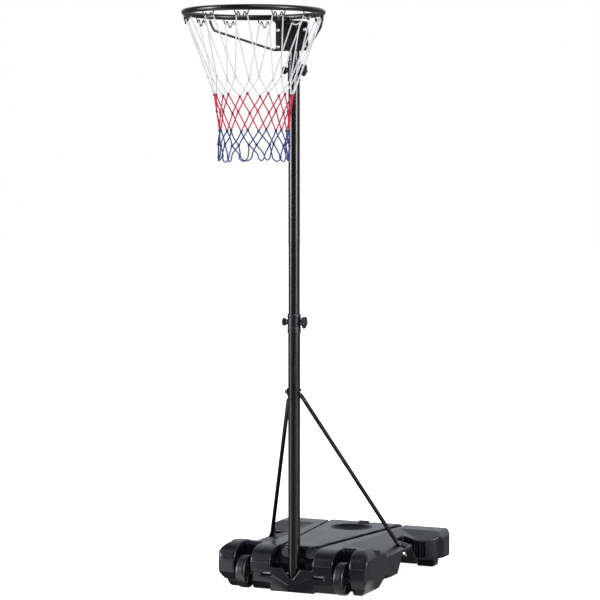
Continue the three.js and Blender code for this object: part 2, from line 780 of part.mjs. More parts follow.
function baseTank() {
  let tank = solidOf(alongZ(deckPlan(), 0, noseTopZ))
    .intersect(solidOf(alongX(deckSide(), -blockHalfWidth - overrun, blockHalfWidth + overrun)))
    .intersect(solidOf(alongY(deckFront(), -overrun, blockRearY + overrun)));
  const wells = [-1, 1].map((sign) => sidedBlock(sign, innerLugOuterX, outerLugInnerX,
    lugFrontY, wheelWellRearY, -overrun, noseTopZ));
  tank = less(tank, wells);
  [1, -1].forEach((sign) => {
    tank = tank.subtract(sidedSolid(sign, shoulderCut()));
    tank = tank.add(sidedSolid(sign, solidOf(innerLug())));
    tank = tank.add(sidedSolid(sign, outerLug()));
  });
  tank = tank.add(frontLip()).add(nose());
  [1, -1].forEach((sign) => {
    tank = tank.subtract(groove(sign));
    tank = tank.subtract(sidedSolid(sign, footFlare()));
    tank = tank.subtract(sidedSolid(sign, solidOf(sideHollow())));
    tank = tank.subtract(sidedSolid(sign, fingerPocket()));
    tank = tank.subtract(sidedSolid(sign, axleSlot(laneHalf - overrun, innerLugOuterX + overrun)));
    tank = tank.subtract(sidedSolid(sign, axleSlot(outerLugInnerX - overrun,
      axleHalfLength + runGap)));
    tank = tank.subtract(solidOf(capBore(sign)));
    tank = tank.subtract(sidedSolid(sign, solidOf(axleWindow())));
    tank = tank.subtract(sidedSolid(sign, solidOf(strutSeat())));
    tank = tank.subtract(solidOf(rodZ(sign * strutFootX, strutFootY, deckUndersideZ, deckFrontZ,
      footBoltRadius + seatGap, strutSides)));
    tank = tank.add(sidedSolid(sign, rearFoot()));
  });
  const rise = Math.sqrt(dishSphereRadius ** 2 - dishRadius ** 2);
  const dish = new THREE.SphereGeometry(dishSphereRadius, tubeSides, tubeSides / 2)
    .rotateX(Math.PI / 2).translate(0, dishY, deckZ(dishY) + rise);
  const plugBore = rodZ(0, plugY, deckZ(plugY) - plugStemLength - overrun, deckFrontZ,
    plugStemRadius + runGap, tubeSides);
  return geometryOf(less(tank, [dish, plugBore]));
}

function sidedBlock(sign, x0, x1, y0, y1, z0, z1) {
  return block(Math.min(sign * x0, sign * x1), Math.max(sign * x0, sign * x1), y0, y1, z0, z1);
}

function sidedSolid(sign, solid) {
  return sign > 0 ? solid : solidOf(mirroredX(geometryOf(solid)));
}

// Filler cap: fluted rim, sunk face with crossing bars, and the neck that screws in
function fillerCap(sign) {
  const rimInner = capRadius - capFluteDepth - capRimWidth;
  const top = seatGap + capThickness;
  const profile = [
    [0, -capNeckLength], [capNeckRadius, -capNeckLength], [capNeckRadius, seatGap * 2],
    [rimInner + capRimWidth / 2, seatGap * 2], [rimInner + capRimWidth / 2, top - capFaceDepth],
    [0, top - capFaceDepth],
  ];
  const rim = new THREE.Shape();
  for (let i = 0; i < 2 * capFlutes; i += 1) {
    const turn = (i / capFlutes) * Math.PI;
    const r = i % 2 ? capRadius - capFluteDepth : capRadius;
    const [a, b] = [r * Math.cos(turn), r * Math.sin(turn)];
    if (i === 0) rim.moveTo(a, b);
    else rim.lineTo(a, b);
  }
  const sunk = new THREE.Path();
  sunk.absarc(0, 0, rimInner, 0, 2 * Math.PI, true);
  rim.holes.push(sunk);
  const pieces = [turned(profile, plugSides), alongZ(rim, seatGap, top)];
  const pitch = (2 * rimInner) / (capBars + 1);
  for (let i = 1; i <= capBars; i += 1) {
    const at = -rimInner + i * pitch;
    const reach = Math.sqrt(rimInner ** 2 - at ** 2) + capRimWidth / 2;
    const [low, high] = [top - capFaceDepth - capBarWidth / 2, top - capFaceDepth / 2];
    pieces.push(block(at - capBarWidth / 2, at + capBarWidth / 2, -reach, reach, low, high));
    pieces.push(block(-reach, reach, at - capBarWidth / 2, at + capBarWidth / 2, low, high));
  }
  return geometryOf(joined(pieces)).applyMatrix4(capFrame(sign));
}

// Drain plug: a round head with a grip bar, and a stem in the deck
function drainPlug() {
  const head = deckZ(plugY - plugRadius) + seatGap;
  const top = head + plugHeight;
  const profile = [
    [0, head - plugStemLength], [plugStemRadius, head - plugStemLength], [plugStemRadius, head],
    [plugRadius, head], [plugRadius, top - plugHeight / 3], [plugRadius - plugHeight / 3, top],
    [0, top],
  ];
  const grip = block(-plugRadius + plugHeight / 3, plugRadius - plugHeight / 3,
    -plugGripWidth / 2, plugGripWidth / 2, top - plugHeight / 2, top + plugGripHeight);
  return geometryOf(joined([turned(profile, plugSides), grip])).translate(0, plugY, 0);
}

// Wheel: hub that fills the well, rim and web in one turned body, ribs on both faces
function wheel(x) {
  const hubHalf = (outerLugInnerX - innerLugOuterX) / 2 - runGap;
  const half = wheelWidth / 2;
  const web = wheelWebWidth / 2;
  const rimInner = wheelRadius - wheelRimDepth;
  const bore = axleRadius + seatGap;
  const profile = [
    [bore, -hubHalf], [wheelHubRadius, -hubHalf], [wheelHubRadius, -web],
    [rimInner - web, -web], [rimInner, -half],
    [wheelRadius - wheelEdgeRadius, -half], [wheelRadius, -half + wheelEdgeRadius],
    [wheelRadius, half - wheelEdgeRadius], [wheelRadius - wheelEdgeRadius, half],
    [rimInner, half], [rimInner - web, web], [wheelHubRadius, web], [wheelHubRadius, hubHalf],
    [bore, hubHalf], [bore, -hubHalf],
  ];
  let body = solidOf(turnedX(profile, wheelSides, 1));
  for (let i = 0; i < wheelRibs; i += 1) {
    const rib = block(-half + overrun, half - overrun, -wheelRibWidth / 2, wheelRibWidth / 2,
      wheelHubRadius - overrun, rimInner);
    body = body.add(solidOf(rib.rotateX((i / wheelRibs) * 2 * Math.PI)));
  }
  return geometryOf(body).translate(x, 0, axleZ);
}

// A round tube standing on the pole's axis, with cross holes of given height and radius
function poleTube(radius, z0, z1, holes) {
  const inner = radius - tubeWall;
  const profile = [[inner, z0], [radius, z0], [radius, z1], [inner, z1], [inner, z0]];
  const tools = holes.map(([z, holeRadius]) => rodX(-radius - overrun, radius + overrun, 0, z,
    holeRadius, strutSides));
  return tools.length ? carve(turned(profile, tubeSides), tools) : turned(profile, tubeSides);
}

// A plug that closes a tube's end: flange outside, spigot inside. facing is 1 on a top end
function endPlug(radius, z, facing) {
  const spigot = radius - tubeWall - seatGap;
  const seat = z + facing * seatGap;
  const profile = [
    [0, z - facing * endPlugDepth], [spigot, z - facing * endPlugDepth], [spigot, seat],
    [radius, seat], [radius - seatGap, seat + facing * endPlugFlange],
    [0, seat + facing * endPlugFlange],
  ];
  return turned(facing > 0 ? profile : profile.reverse(), plugSides);
}

// Clamp collar over a tube's top end: sleeve, lip round the inner tube, two screw bosses
function clampCollar(outerRadius, innerRadius, tubeTopZ, screwZ) {
  const bore = outerRadius + seatGap;
  const skin = bore + collarWall;
  const lip = innerRadius + seatGap;
  const [low, high] = [screwZ - collarBelowScrew, tubeTopZ + seatGap];
  const profile = [
    [bore, low], [skin - collarWall / 3, low], [skin, low + collarWall],
    [skin, high + collarLip - collarWall], [skin - collarWall, high + collarLip],
    [lip, high + collarLip], [lip, high], [bore, high], [bore, low],
  ];
  const reach = skin + collarBossLength;
  const bosses = [1, -1].map((sign) => rodX(sign * (outerRadius + collarWall), sign * reach, 0,
    screwZ, collarBossRadius, strutSides));
  let body = joined([turned(profile, tubeSides), ...bosses]);
  body = body.subtract(solidOf(rodX(-reach - overrun, reach + overrun, 0, screwZ,
    clampScrewRadius + seatGap, strutSides)));
  return geometryOf(body.subtract(solidOf(rodZ(0, 0, low, high, bore, tubeSides))));
}

// Where a knob's seat lies along X, and where its screw's tip stops short of the inner tube
function knobSeat(outerRadius) {
  return outerRadius + seatGap + collarWall + collarBossLength + seatGap;
}

function starKnob(outerRadius, innerRadius, z) {
  const seat = knobSeat(outerRadius);
  const shape = new THREE.Shape();
  const steps = starLobes * 6;
  for (let i = 0; i < steps; i += 1) {
    const turn = (i / steps) * 2 * Math.PI;
    const swell = (1 + Math.cos(starLobes * turn)) / 2;
    const r = starKnobRadius - starEdgeBevel - starLobeDepth * (1 - swell);
    const [a, b] = [r * Math.cos(turn), r * Math.sin(turn)];
    if (i === 0) shape.moveTo(a, b);
    else shape.lineTo(a, b);
  }
  const head = new THREE.ExtrudeGeometry(shape, {
    depth: starKnobWidth - 2 * starEdgeBevel, bevelThickness: starEdgeBevel,
    bevelSize: starEdgeBevel, bevelSegments: 1, curveSegments: 1,
  });
  head.rotateY(Math.PI / 2).translate(seat + starHubLength + starEdgeBevel, 0, 0);
  const hub = rodBetween(new THREE.Vector3(seat, 0, 0),
    new THREE.Vector3(seat + starHubLength + starEdgeBevel, 0, 0),
    starHubRadius, smallSides, starHubRadius + starEdgeBevel);
  const screw = rodX(innerRadius + seatGap, seat + starHubLength, 0, 0, clampScrewRadius,
    boltSides);
  return geometryOf(joined([head, hub, screw])).translate(0, 0, z);
}

function roundKnob(outerRadius, innerRadius, z) {
  const seat = knobSeat(outerRadius);
  const neckEnd = seat + roundKnobNeckLength;
  const end = neckEnd + roundKnobWidth;
  const rim = roundKnobRadius;
  const profile = [
    [0, innerRadius + seatGap], [clampScrewRadius, innerRadius + seatGap],
    [clampScrewRadius, seat], [roundKnobNeck, seat],
    [roundKnobNeck, neckEnd - roundKnobNeckLength / 3],
    [rim - overrun, neckEnd], [rim, neckEnd + roundKnobWidth / 4],
    [rim, neckEnd + roundKnobWidth / 2], [rim * Math.SQRT1_2, end - roundKnobWidth / 8], [0, end],
  ];
  return turnedX(profile, strutSides, -1).translate(0, 0, z);
}

// Strut: a round tube whose ends are pressed flat, at the pole along its side, at the base
// along the ledge. Each station holds a centre, the flat's width direction and how flat it is.
function strutStations() {
  const top = new THREE.Vector3(strutSideX, 0, strutTopZ);
  const foot = new THREE.Vector3(strutFootX, strutFootY, strutPlateZ);
  const run = foot.clone().sub(top);
  const down = new THREE.Vector3(0, run.y, run.z).normalize();
  const level = new THREE.Vector3(run.x, run.y, 0).normalize();
  const bendTop = top.clone().addScaledVector(down, strutFlatLength);
  const bendFoot = foot.clone().addScaledVector(level, -strutFlatLength);
  const along = bendFoot.clone().sub(bendTop).normalize();
  const roundTop = bendTop.clone().addScaledVector(along, strutBlendLength);
  const roundFoot = bendFoot.clone().addScaledVector(along, -strutBlendLength);
  const topWide = new THREE.Vector3(0, down.z, -down.y);
  const footWide = new THREE.Vector3(level.y, -level.x, 0);
  const stations = [
    { at: top.clone().addScaledVector(down, -strutEndMargin), along: down, wide: topWide, flat: 1 },
    { at: bendTop, along: down, wide: topWide, flat: 1 },
  ];
  for (let i = 0; i <= strutSpans; i += 1) {
    const wide = topWide.clone().lerp(footWide, i / strutSpans);
    stations.push({ at: roundTop.clone().lerp(roundFoot, i / strutSpans), along, wide, flat: 0 });
  }
  stations.push({ at: bendFoot, along: level, wide: footWide, flat: 1 });
  stations.push({ at: foot.clone().addScaledVector(level, strutEndMargin), along: level,
    wide: footWide, flat: 1 });
  return stations;
}

function strutRing({ at, along, wide, flat }) {
  const across = wide.clone().addScaledVector(along, -wide.dot(along)).normalize();
  const through = along.clone().cross(across);
  const halfWide = flat ? strutFlatHalfWidth : strutRadius;
  const halfThick = flat ? strutFlatThickness / 2 : strutRadius;
  const ring = [];
  for (let i = 0; i < strutSides; i += 1) {
    const turn = ((i + 0.5) / strutSides) * 2 * Math.PI;
    const squared = flat ? Math.sign(Math.sin(turn)) : Math.sin(turn);
    ring.push(at.clone().addScaledVector(across, halfWide * Math.cos(turn))
      .addScaledVector(through, halfThick * squared));
  }
  return ring;
}

function strut() {
  const holes = [
    rodX(0, 2 * strutSideX, 0, strutTopZ, strutBoltRadius + seatGap, strutSides),
    rodZ(strutFootX, strutFootY, ledgeZ, ledgeZ + 2 * strutFlatHalfWidth,
      footBoltRadius + seatGap, strutSides),
  ];
  return carve(loft(strutStations().map(strutRing)), holes);
}

// Pan-headed bolt along +Z from its head's seat at the origin, shank downwards
function bolt(radius, headRadius, headHeight, length, headSides) {
  const dome = headHeight / 3;
  return turned([[0, -length], [radius, -length], [radius, 0], [headRadius, 0],
    [headRadius, headHeight - dome], [headRadius - dome, headHeight], [0, headHeight]], headSides);
}

// Hexagon nut or round washer with a bore, lying on the origin's plane and rising along +Z
function nut(bore, radius, height, sides) {
  const shape = new THREE.Shape();
  for (let i = 0; i < sides; i += 1) {
    const turn = (i / sides) * 2 * Math.PI;
    const [a, b] = [radius * Math.cos(turn), radius * Math.sin(turn)];
    if (i === 0) shape.moveTo(a, b);
    else shape.lineTo(a, b);
  }
  const hole = new THREE.Path();
  hole.absarc(0, 0, bore, 0, 2 * Math.PI, true);
  shape.holes.push(hole);
  return alongZ(shape, 0, height);
}

function wingNut() {
  const bore = footBoltRadius + seatGap;
  const body = nut(bore, wingNutRadius, wingNutHeight, smallSides);
  const wings = [1, -1].map((sign) => {
    const shape = outline([
      [sign * (bore + seatGap), 0], [sign * wingNutRadius, 0], [sign * wingNutSpan, wingNutHeight],
      [sign * wingNutSpan, wingNutDrop], [sign * wingNutRadius, wingNutDrop],
      [sign * (bore + seatGap), wingNutHeight],
    ]);
    return alongY(shape, -wingThickness / 2, wingThickness / 2);
  });
  return geometryOf(joined([body, ...wings])).rotateX(Math.PI);
}

// Ring bracket: plate on the pole's front, bent forward into a flange under the ring
function bracketPlate() {
  const back = -topTubeRadius - seatGap;
  const front = back - plateThickness;
  const top = ringZ - ringRodRadius - seatGap;
  const inner = plateBendRadius - plateThickness;
  const reach = -ringForward + ringRadius - flangeReach;
  const side = new THREE.Shape();
  side.moveTo(back, plateBottomZ);
  side.lineTo(back, top - plateBendRadius);
  side.absarc(back - plateBendRadius, top - plateBendRadius, plateBendRadius, 0, Math.PI / 2, false);
  side.lineTo(reach, top);
  side.lineTo(reach, top - plateThickness);
  side.lineTo(back - plateBendRadius, top - plateThickness);
  side.absarc(back - plateBendRadius, top - plateBendRadius, inner, Math.PI / 2, 0, true);
  side.lineTo(front, plateBottomZ);
  side.closePath();
  const plan = outline([
    [-plateHalfWidth, back + overrun], [plateHalfWidth, back + overrun], [plateHalfWidth, front],
    [flangeFrontHalf, reach - overrun], [-flangeFrontHalf, reach - overrun], [-plateHalfWidth, front],
  ]);
  const body = solidOf(alongX(side, -plateHalfWidth, plateHalfWidth))
    .intersect(solidOf(alongZ(plan, plateBottomZ - overrun, ringZ)));
  return geometryOf(less(body, bracketHoles()));
}

function bracketHoles() {
  return bracketBoltPlaces().map(([x, z]) => rodBetween(
    new THREE.Vector3(x, -topTubeRadius - plateThickness - overrun, z),
    new THREE.Vector3(x, 0, z), bracketBoltRadius + seatGap, strutSides));
}

function bracketBoltPlaces() {
  return [[-bracketBoltX, bracketBoltLowZ], [bracketBoltX, bracketBoltLowZ],
    [-bracketBoltX, bracketBoltHighZ], [bracketBoltX, bracketBoltHighZ]];
}

// Clamp strip: bent round the back of the pole, with a wing on each side behind the plate
function poleClamp() {
  const inner = topTubeRadius + seatGap;
  const outer = inner + clampStripThickness;
  const wingFront = -topTubeRadius;
  const wingBack = wingFront + clampStripThickness;
  const shape = new THREE.Shape();
  shape.moveTo(plateHalfWidth, wingFront);
  shape.lineTo(plateHalfWidth, wingBack);
  shape.lineTo(outer, wingBack);
  shape.absarc(0, 0, outer, 0, Math.PI, false);
  shape.lineTo(-outer, wingBack);
  shape.lineTo(-plateHalfWidth, wingBack);
  shape.lineTo(-plateHalfWidth, wingFront);
  shape.lineTo(-inner, wingFront);
  shape.absarc(0, 0, inner, Math.PI, 0, true);
  shape.lineTo(inner, wingFront);
  shape.closePath();
  const top = ringZ - ringRodRadius - plateBendRadius - plateThickness;
  return carve(alongZ(shape, plateBottomZ, top), bracketHoles());
}

function brace() {
  const front = -topTubeRadius - seatGap - plateThickness - seatGap - braceRadius;
  const turn = THREE.MathUtils.degToRad(braceRingDeg);
  const end = new THREE.Vector3(ringRadius * Math.sin(turn),
    -ringForward + ringRadius * Math.cos(turn),
    ringZ - ringRodRadius - braceRadius * Math.SQRT1_2);
  const leave = new THREE.Vector3(braceLeaveX, front - seatGap, braceZ);
  const bend = new THREE.Vector3(braceBendX, braceBendY, braceBendZ);
  const inward = leave.clone().sub(bend).normalize();
  const upward = end.clone().sub(bend).normalize();
  const points = [
    new THREE.Vector3(braceStartX, front, braceZ),
    new THREE.Vector3(braceLeaveX - braceBendReach / 2, front, braceZ),
    leave.clone().addScaledVector(inward, -braceBendReach / 2),
    bend.clone().lerp(leave, 0.5),
    bend.clone().addScaledVector(inward, braceBendReach),
    bend.clone().addScaledVector(inward.clone().add(upward), braceBendReach / 5),
    bend.clone().addScaledVector(upward, braceBendReach),
    end,
  ];
  return bentBar(points, braceRadius, braceSides, braceSteps);
}

// Position of a point seen from the ring's centre: angle from the pole's direction, radius,
// drop below the ring's centreline, and a shift along the tangent
function netPoint(turn, radius, drop, shift = 0) {
  return new THREE.Vector3(
    radius * Math.sin(turn) + shift * Math.cos(turn),
    -ringForward + radius * Math.cos(turn) - shift * Math.sin(turn),
    ringZ - drop);
}

function hookTurn(index) {
  return ((index + 0.5) / hookCount) * 2 * Math.PI;
}

// A place on a hook's wire, in shares of its half-width and of its depth under the weld
function hookPlace(turn, radius, side, down) {
  const weld = ringRodRadius - hookWireRadius;
  return netPoint(turn, radius, weld + (hookDip - weld) * down, hookHalf * side);
}

// A net hook: a wire bent down three times, both ends welded to the underside of the ring.
// The net hangs in its two outer bends.
function hook(index) {
  const turn = hookTurn(index);
  const stops = hookShares.map(([side, down]) => hookPlace(turn, ringRadius, side, down));
  return loft(stops.map((stop, at) => sectionAt(stop, stops[Math.max(at - 1, 0)],
    stops[Math.min(at + 1, stops.length - 1)], hookWireRadius, hookSides)));
}

function ringWithHooks() {
  const pieces = [new THREE.TorusGeometry(ringRadius, ringRodRadius, ringSides, ringSteps)
    .translate(0, -ringForward, ringZ)];
  for (let i = 0; i < hookCount; i += 1) pieces.push(hook(i));
  return geometryOf(joined(pieces));
}

// One band of the net: cords between rows of knots. Each row has an angle offset in half
// pitches, a radius and a drop, and every knot ties to its two neighbours in the next row.
function netBand(rows, hung) {
  const pitch = Math.PI / hookCount;
  const pieces = [];
  rows.forEach((row, level) => {
    for (let i = 0; i < hookCount; i += 1) {
      const turn = (2 * i + row.phase) * pitch;
      const knot = netPoint(turn, row.radius, row.drop);
      pieces.push(knotAt(turn, knot));
      const next = rows[level + 1];
      if (next) {
        [1, -1].forEach((side) => {
          const end = netPoint(turn + side * pitch, next.radius, next.drop);
          pieces.push(rodBetween(knot, end, cordRadius, cordSides));
        });
      }
    }
  });
  if (hung) {
    for (let i = 0; i < hookCount; i += 1) pieces.push(hungLoop(i, rows[0], pitch));
  }
  return geometryOf(joined(pieces));
}

// A knot: a small block on edge, so that each cord enters one of its sloping faces
function knotAt(turn, place) {
  const geometry = new THREE.BoxGeometry(2 * knotHalf, 2 * knotThick, 2 * knotHalf);
  geometry.rotateY(Math.PI / 4).rotateZ(-turn);
  return geometry.translate(...place.toArray());
}

// Section of a cord or wire at a place, square to the run between two points
function sectionAt(place, from, to, radius, sides) {
  const along = to.clone().sub(from).normalize();
  const across = along.clone().cross(new THREE.Vector3(
    place.x, place.y + ringForward, 0).normalize()).normalize();
  const through = along.clone().cross(across);
  const ring = [];
  for (let i = 0; i < sides; i += 1) {
    const turn = ((i + 0.5) / sides) * 2 * Math.PI;
    ring.push(place.clone().addScaledVector(across, radius * Math.cos(turn))
      .addScaledVector(through, radius * Math.sin(turn)));
  }
  return ring;
}

// A loop that hangs on a hook: up from one knot, through the hook and down to the next knot
function hungLoop(index, row, pitch) {
  const turn = hookTurn(index);
  const radius = ringRadius - hookWireRadius * Math.cos(Math.PI / hookSides) - seatGap
    - cordRadius * Math.sin(Math.PI / cordSides);
  const [seatSide, seatDown] = hookSeatShares;
  const stops = [
    netPoint(turn - pitch, row.radius, row.drop),
    hookPlace(turn, radius, -seatSide, seatDown),
    hookPlace(turn, radius, seatSide, seatDown),
    netPoint(turn + pitch, row.radius, row.drop),
  ];
  return loft(stops.map((stop, at) => sectionAt(stop, stops[Math.max(at - 1, 0)],
    stops[Math.min(at + 1, stops.length - 1)], cordRadius, cordSides)));
}

// Rows of one colour meet the next colour's rows knot on knot, a hair apart
function belowKnot(drop) {
  return drop + 2 * Math.SQRT2 * knotHalf + seatGap;
}

function assemble() {
  place('base_tank', baseTank(), 'tank');
  place('filler_cap_left', fillerCap(-1), 'moulding');
  place('filler_cap_right', fillerCap(1), 'moulding');
  place('drain_plug', drainPlug(), 'moulding');
  const wheelX = (innerLugOuterX + outerLugInnerX) / 2;
  place('wheel_left', wheel(-wheelX), 'tyre');
  place('wheel_right', wheel(wheelX), 'tyre');
  place('wheel_axle', rodX(-axleHalfLength, axleHalfLength, 0, axleZ, axleRadius, tubeSides), 'zinc');
  assemblePole();
  assembleStruts();
  assembleRing();
}

function assemblePole() {
  const screwHole = clampScrewRadius + seatGap;
  place('lower_pole', poleTube(lowerTubeRadius, poleFootZ, lowerTubeTopZ, [
    [axleZ, axleRadius + seatGap], [strutTopZ, strutBoltRadius + seatGap],
    [lowerClampZ, screwHole]]), 'steel');
  place('pole_foot_plug', endPlug(lowerTubeRadius, poleFootZ, -1), 'moulding');
  place('lower_collar', clampCollar(lowerTubeRadius, midTubeRadius, lowerTubeTopZ, lowerClampZ),
    'moulding');
  place('lower_star_knob', starKnob(lowerTubeRadius, midTubeRadius, lowerClampZ), 'moulding');
  place('lower_round_knob', roundKnob(lowerTubeRadius, midTubeRadius, lowerClampZ), 'moulding');
  place('mid_pole', poleTube(midTubeRadius, midTubeBottomZ, midTubeTopZ,
    [[upperClampZ, screwHole]]), 'steel');
  place('mid_pole_bush', endPlug(midTubeRadius, midTubeBottomZ, -1), 'moulding');
  place('upper_collar', clampCollar(midTubeRadius, topTubeRadius, midTubeTopZ, upperClampZ),
    'moulding');
  place('upper_star_knob', starKnob(midTubeRadius, topTubeRadius, upperClampZ), 'moulding');
  place('upper_round_knob', roundKnob(midTubeRadius, topTubeRadius, upperClampZ), 'moulding');
  place('top_pole', poleTube(topTubeRadius, topTubeBottomZ, topTubeTopZ, []), 'steel');
  place('top_pole_bush', endPlug(topTubeRadius, topTubeBottomZ, -1), 'moulding');
  place('pole_top_cap', endPlug(topTubeRadius, topTubeTopZ, 1), 'moulding');
}

function assembleStruts() {
  const right = strut();
  place('strut_right', right, 'steel');
  place('strut_left', mirroredX(right), 'steel');
  const outside = strutSideX + strutFlatThickness / 2 + seatGap;
  const nutSeat = outside + strutWasherThickness + seatGap;
  const length = 2 * outside + strutWasherThickness + strutNutHeight + overrun;
  place('strut_top_bolt', bolt(strutBoltRadius, strutBoltHeadRadius, strutBoltHeadHeight, length,
    smallSides).rotateY(Math.PI / 2).translate(outside, 0, strutTopZ), 'zinc');
  const bore = strutBoltRadius + seatGap;
  place('strut_top_washer', nut(bore, strutWasherRadius, strutWasherThickness, smallSides)
    .rotateY(-Math.PI / 2).translate(-outside, 0, strutTopZ), 'zinc');
  place('strut_top_nut', nut(bore, strutBoltHeadRadius, strutNutHeight, 6)
    .rotateY(-Math.PI / 2).translate(-nutSeat, 0, strutTopZ), 'zinc');
  const headSeat = strutPlateZ + strutFlatThickness / 2 + seatGap;
  const nutTop = hollowTopZ - overrun - seatGap;
  const shank = headSeat - nutTop + wingNutHeight + overrun;
  [['left', -1], ['right', 1]].forEach(([side, sign]) => {
    place(`strut_foot_bolt_${side}`, bolt(footBoltRadius, footBoltHeadRadius, footBoltHeadHeight,
      shank, smallSides).translate(sign * strutFootX, strutFootY, headSeat), 'steel');
    place(`strut_wing_nut_${side}`, wingNut().translate(sign * strutFootX, strutFootY, nutTop),
      'zinc');
  });
}

function assembleRing() {
  place('ring', ringWithHooks(), 'steel');
  place('ring_bracket', bracketPlate(), 'steel');
  place('pole_clamp', poleClamp(), 'steel');
  const right = brace();
  place('brace_right', right, 'steel');
  place('brace_left', mirroredX(right), 'steel');
  const headSeat = -topTubeRadius - seatGap - plateThickness - seatGap;
  const nutSeat = -topTubeRadius + clampStripThickness + seatGap;
  const length = nutSeat - headSeat + bracketNutHeight + overrun;
  bracketBoltPlaces().forEach(([x, z], index) => {
    place(`bracket_bolt_${index + 1}`, bolt(bracketBoltRadius, bracketBoltHeadRadius,
      bracketBoltHeadHeight, length, boltSides).rotateX(Math.PI / 2).translate(x, headSeat, z), 'zinc');
    place(`bracket_nut_${index + 1}`, nut(bracketBoltRadius + seatGap, bracketNutRadius,
      bracketNutHeight, 6).rotateX(-Math.PI / 2).translate(x, nutSeat, z), 'zinc');
  });
  place('net_white', netBand([
    { phase: 0, radius: firstKnotRadius, drop: firstKnotDrop },
    { phase: 1, radius: whiteEndRadius, drop: whiteEndDrop }], true), 'white');
  place('net_red', netBand([
    { phase: 1, radius: whiteEndRadius, drop: belowKnot(whiteEndDrop) },
    { phase: 0, radius: redKnotRadius, drop: redKnotDrop },
    { phase: 1, radius: redEndRadius, drop: redEndDrop }], false), 'red');
  place('net_blue', netBand([
    { phase: 1, radius: redEndRadius, drop: belowKnot(redEndDrop) },
    { phase: 0, radius: blueKnotRadius, drop: blueKnotDrop },
    { phase: 1, radius: netMouthRadius, drop: netLength }], false), 'blue');
}

assemble();

export default post;
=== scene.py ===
"""Looks of a portable netball post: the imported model's solids are dressed with finer pieces.

Lengths in the shape code are millimetres, as on the maker's drawing; finished pieces are metres.
+Z is up, the pole stands on the origin, the ring is towards -Y and the ballast tank towards +Y.
"""
import bmesh
import bpy
import math
from mathutils import Matrix, Vector


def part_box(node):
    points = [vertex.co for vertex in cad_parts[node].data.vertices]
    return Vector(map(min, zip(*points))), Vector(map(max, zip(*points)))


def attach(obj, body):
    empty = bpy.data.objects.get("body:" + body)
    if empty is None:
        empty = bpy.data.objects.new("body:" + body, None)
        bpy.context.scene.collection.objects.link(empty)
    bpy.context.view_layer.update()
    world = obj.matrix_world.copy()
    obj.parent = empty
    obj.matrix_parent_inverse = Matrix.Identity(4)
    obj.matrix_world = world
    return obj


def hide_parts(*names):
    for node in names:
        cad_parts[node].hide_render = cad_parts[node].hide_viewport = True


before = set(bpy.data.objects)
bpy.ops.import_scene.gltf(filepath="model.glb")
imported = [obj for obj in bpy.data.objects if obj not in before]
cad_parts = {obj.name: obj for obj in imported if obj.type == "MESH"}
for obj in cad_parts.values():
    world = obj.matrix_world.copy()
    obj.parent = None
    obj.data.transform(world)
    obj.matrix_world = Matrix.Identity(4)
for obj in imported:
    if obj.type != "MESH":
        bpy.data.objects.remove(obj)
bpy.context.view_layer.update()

MM = 0.001
TURN = 2 * math.pi
ALONG_X = Matrix.Rotation(math.pi / 2, 4, "Y")
AGAINST_X = Matrix.Rotation(-math.pi / 2, 4, "Y")
AGAINST_Y = Matrix.Rotation(math.pi / 2, 4, "X")


def moved(x, y, z):
    return Matrix.Translation((x, y, z))


def placed(name, data):
    """A new object with the given data, linked into the scene."""
    made = bpy.data.objects.new(name, data)
    bpy.context.scene.collection.objects.link(made)
    return made


# The camera stands where the photographer's did, a little above the post's middle

PICTURE_SIDE, FOCAL_LENGTH, SENSOR = 600, 2099.7, 36
CAMERA_PLACE, CAMERA_DIP, CAMERA_TURN = (2.5132, -5.7724, 1.2554), 3.373, 23.354


def aim_camera():
    camera_data = bpy.data.cameras.new("photo_camera")
    camera_data.sensor_width = SENSOR
    camera_data.lens = SENSOR * FOCAL_LENGTH / PICTURE_SIDE
    camera_data.shift_x = -0.5 / PICTURE_SIDE
    camera = placed("photo_camera", camera_data)
    camera.location = CAMERA_PLACE
    camera.rotation_euler = (math.radians(90 - CAMERA_DIP), 0, math.radians(CAMERA_TURN))
    bpy.context.scene.camera = camera


# Node trees: small helpers that place and join nodes by their names

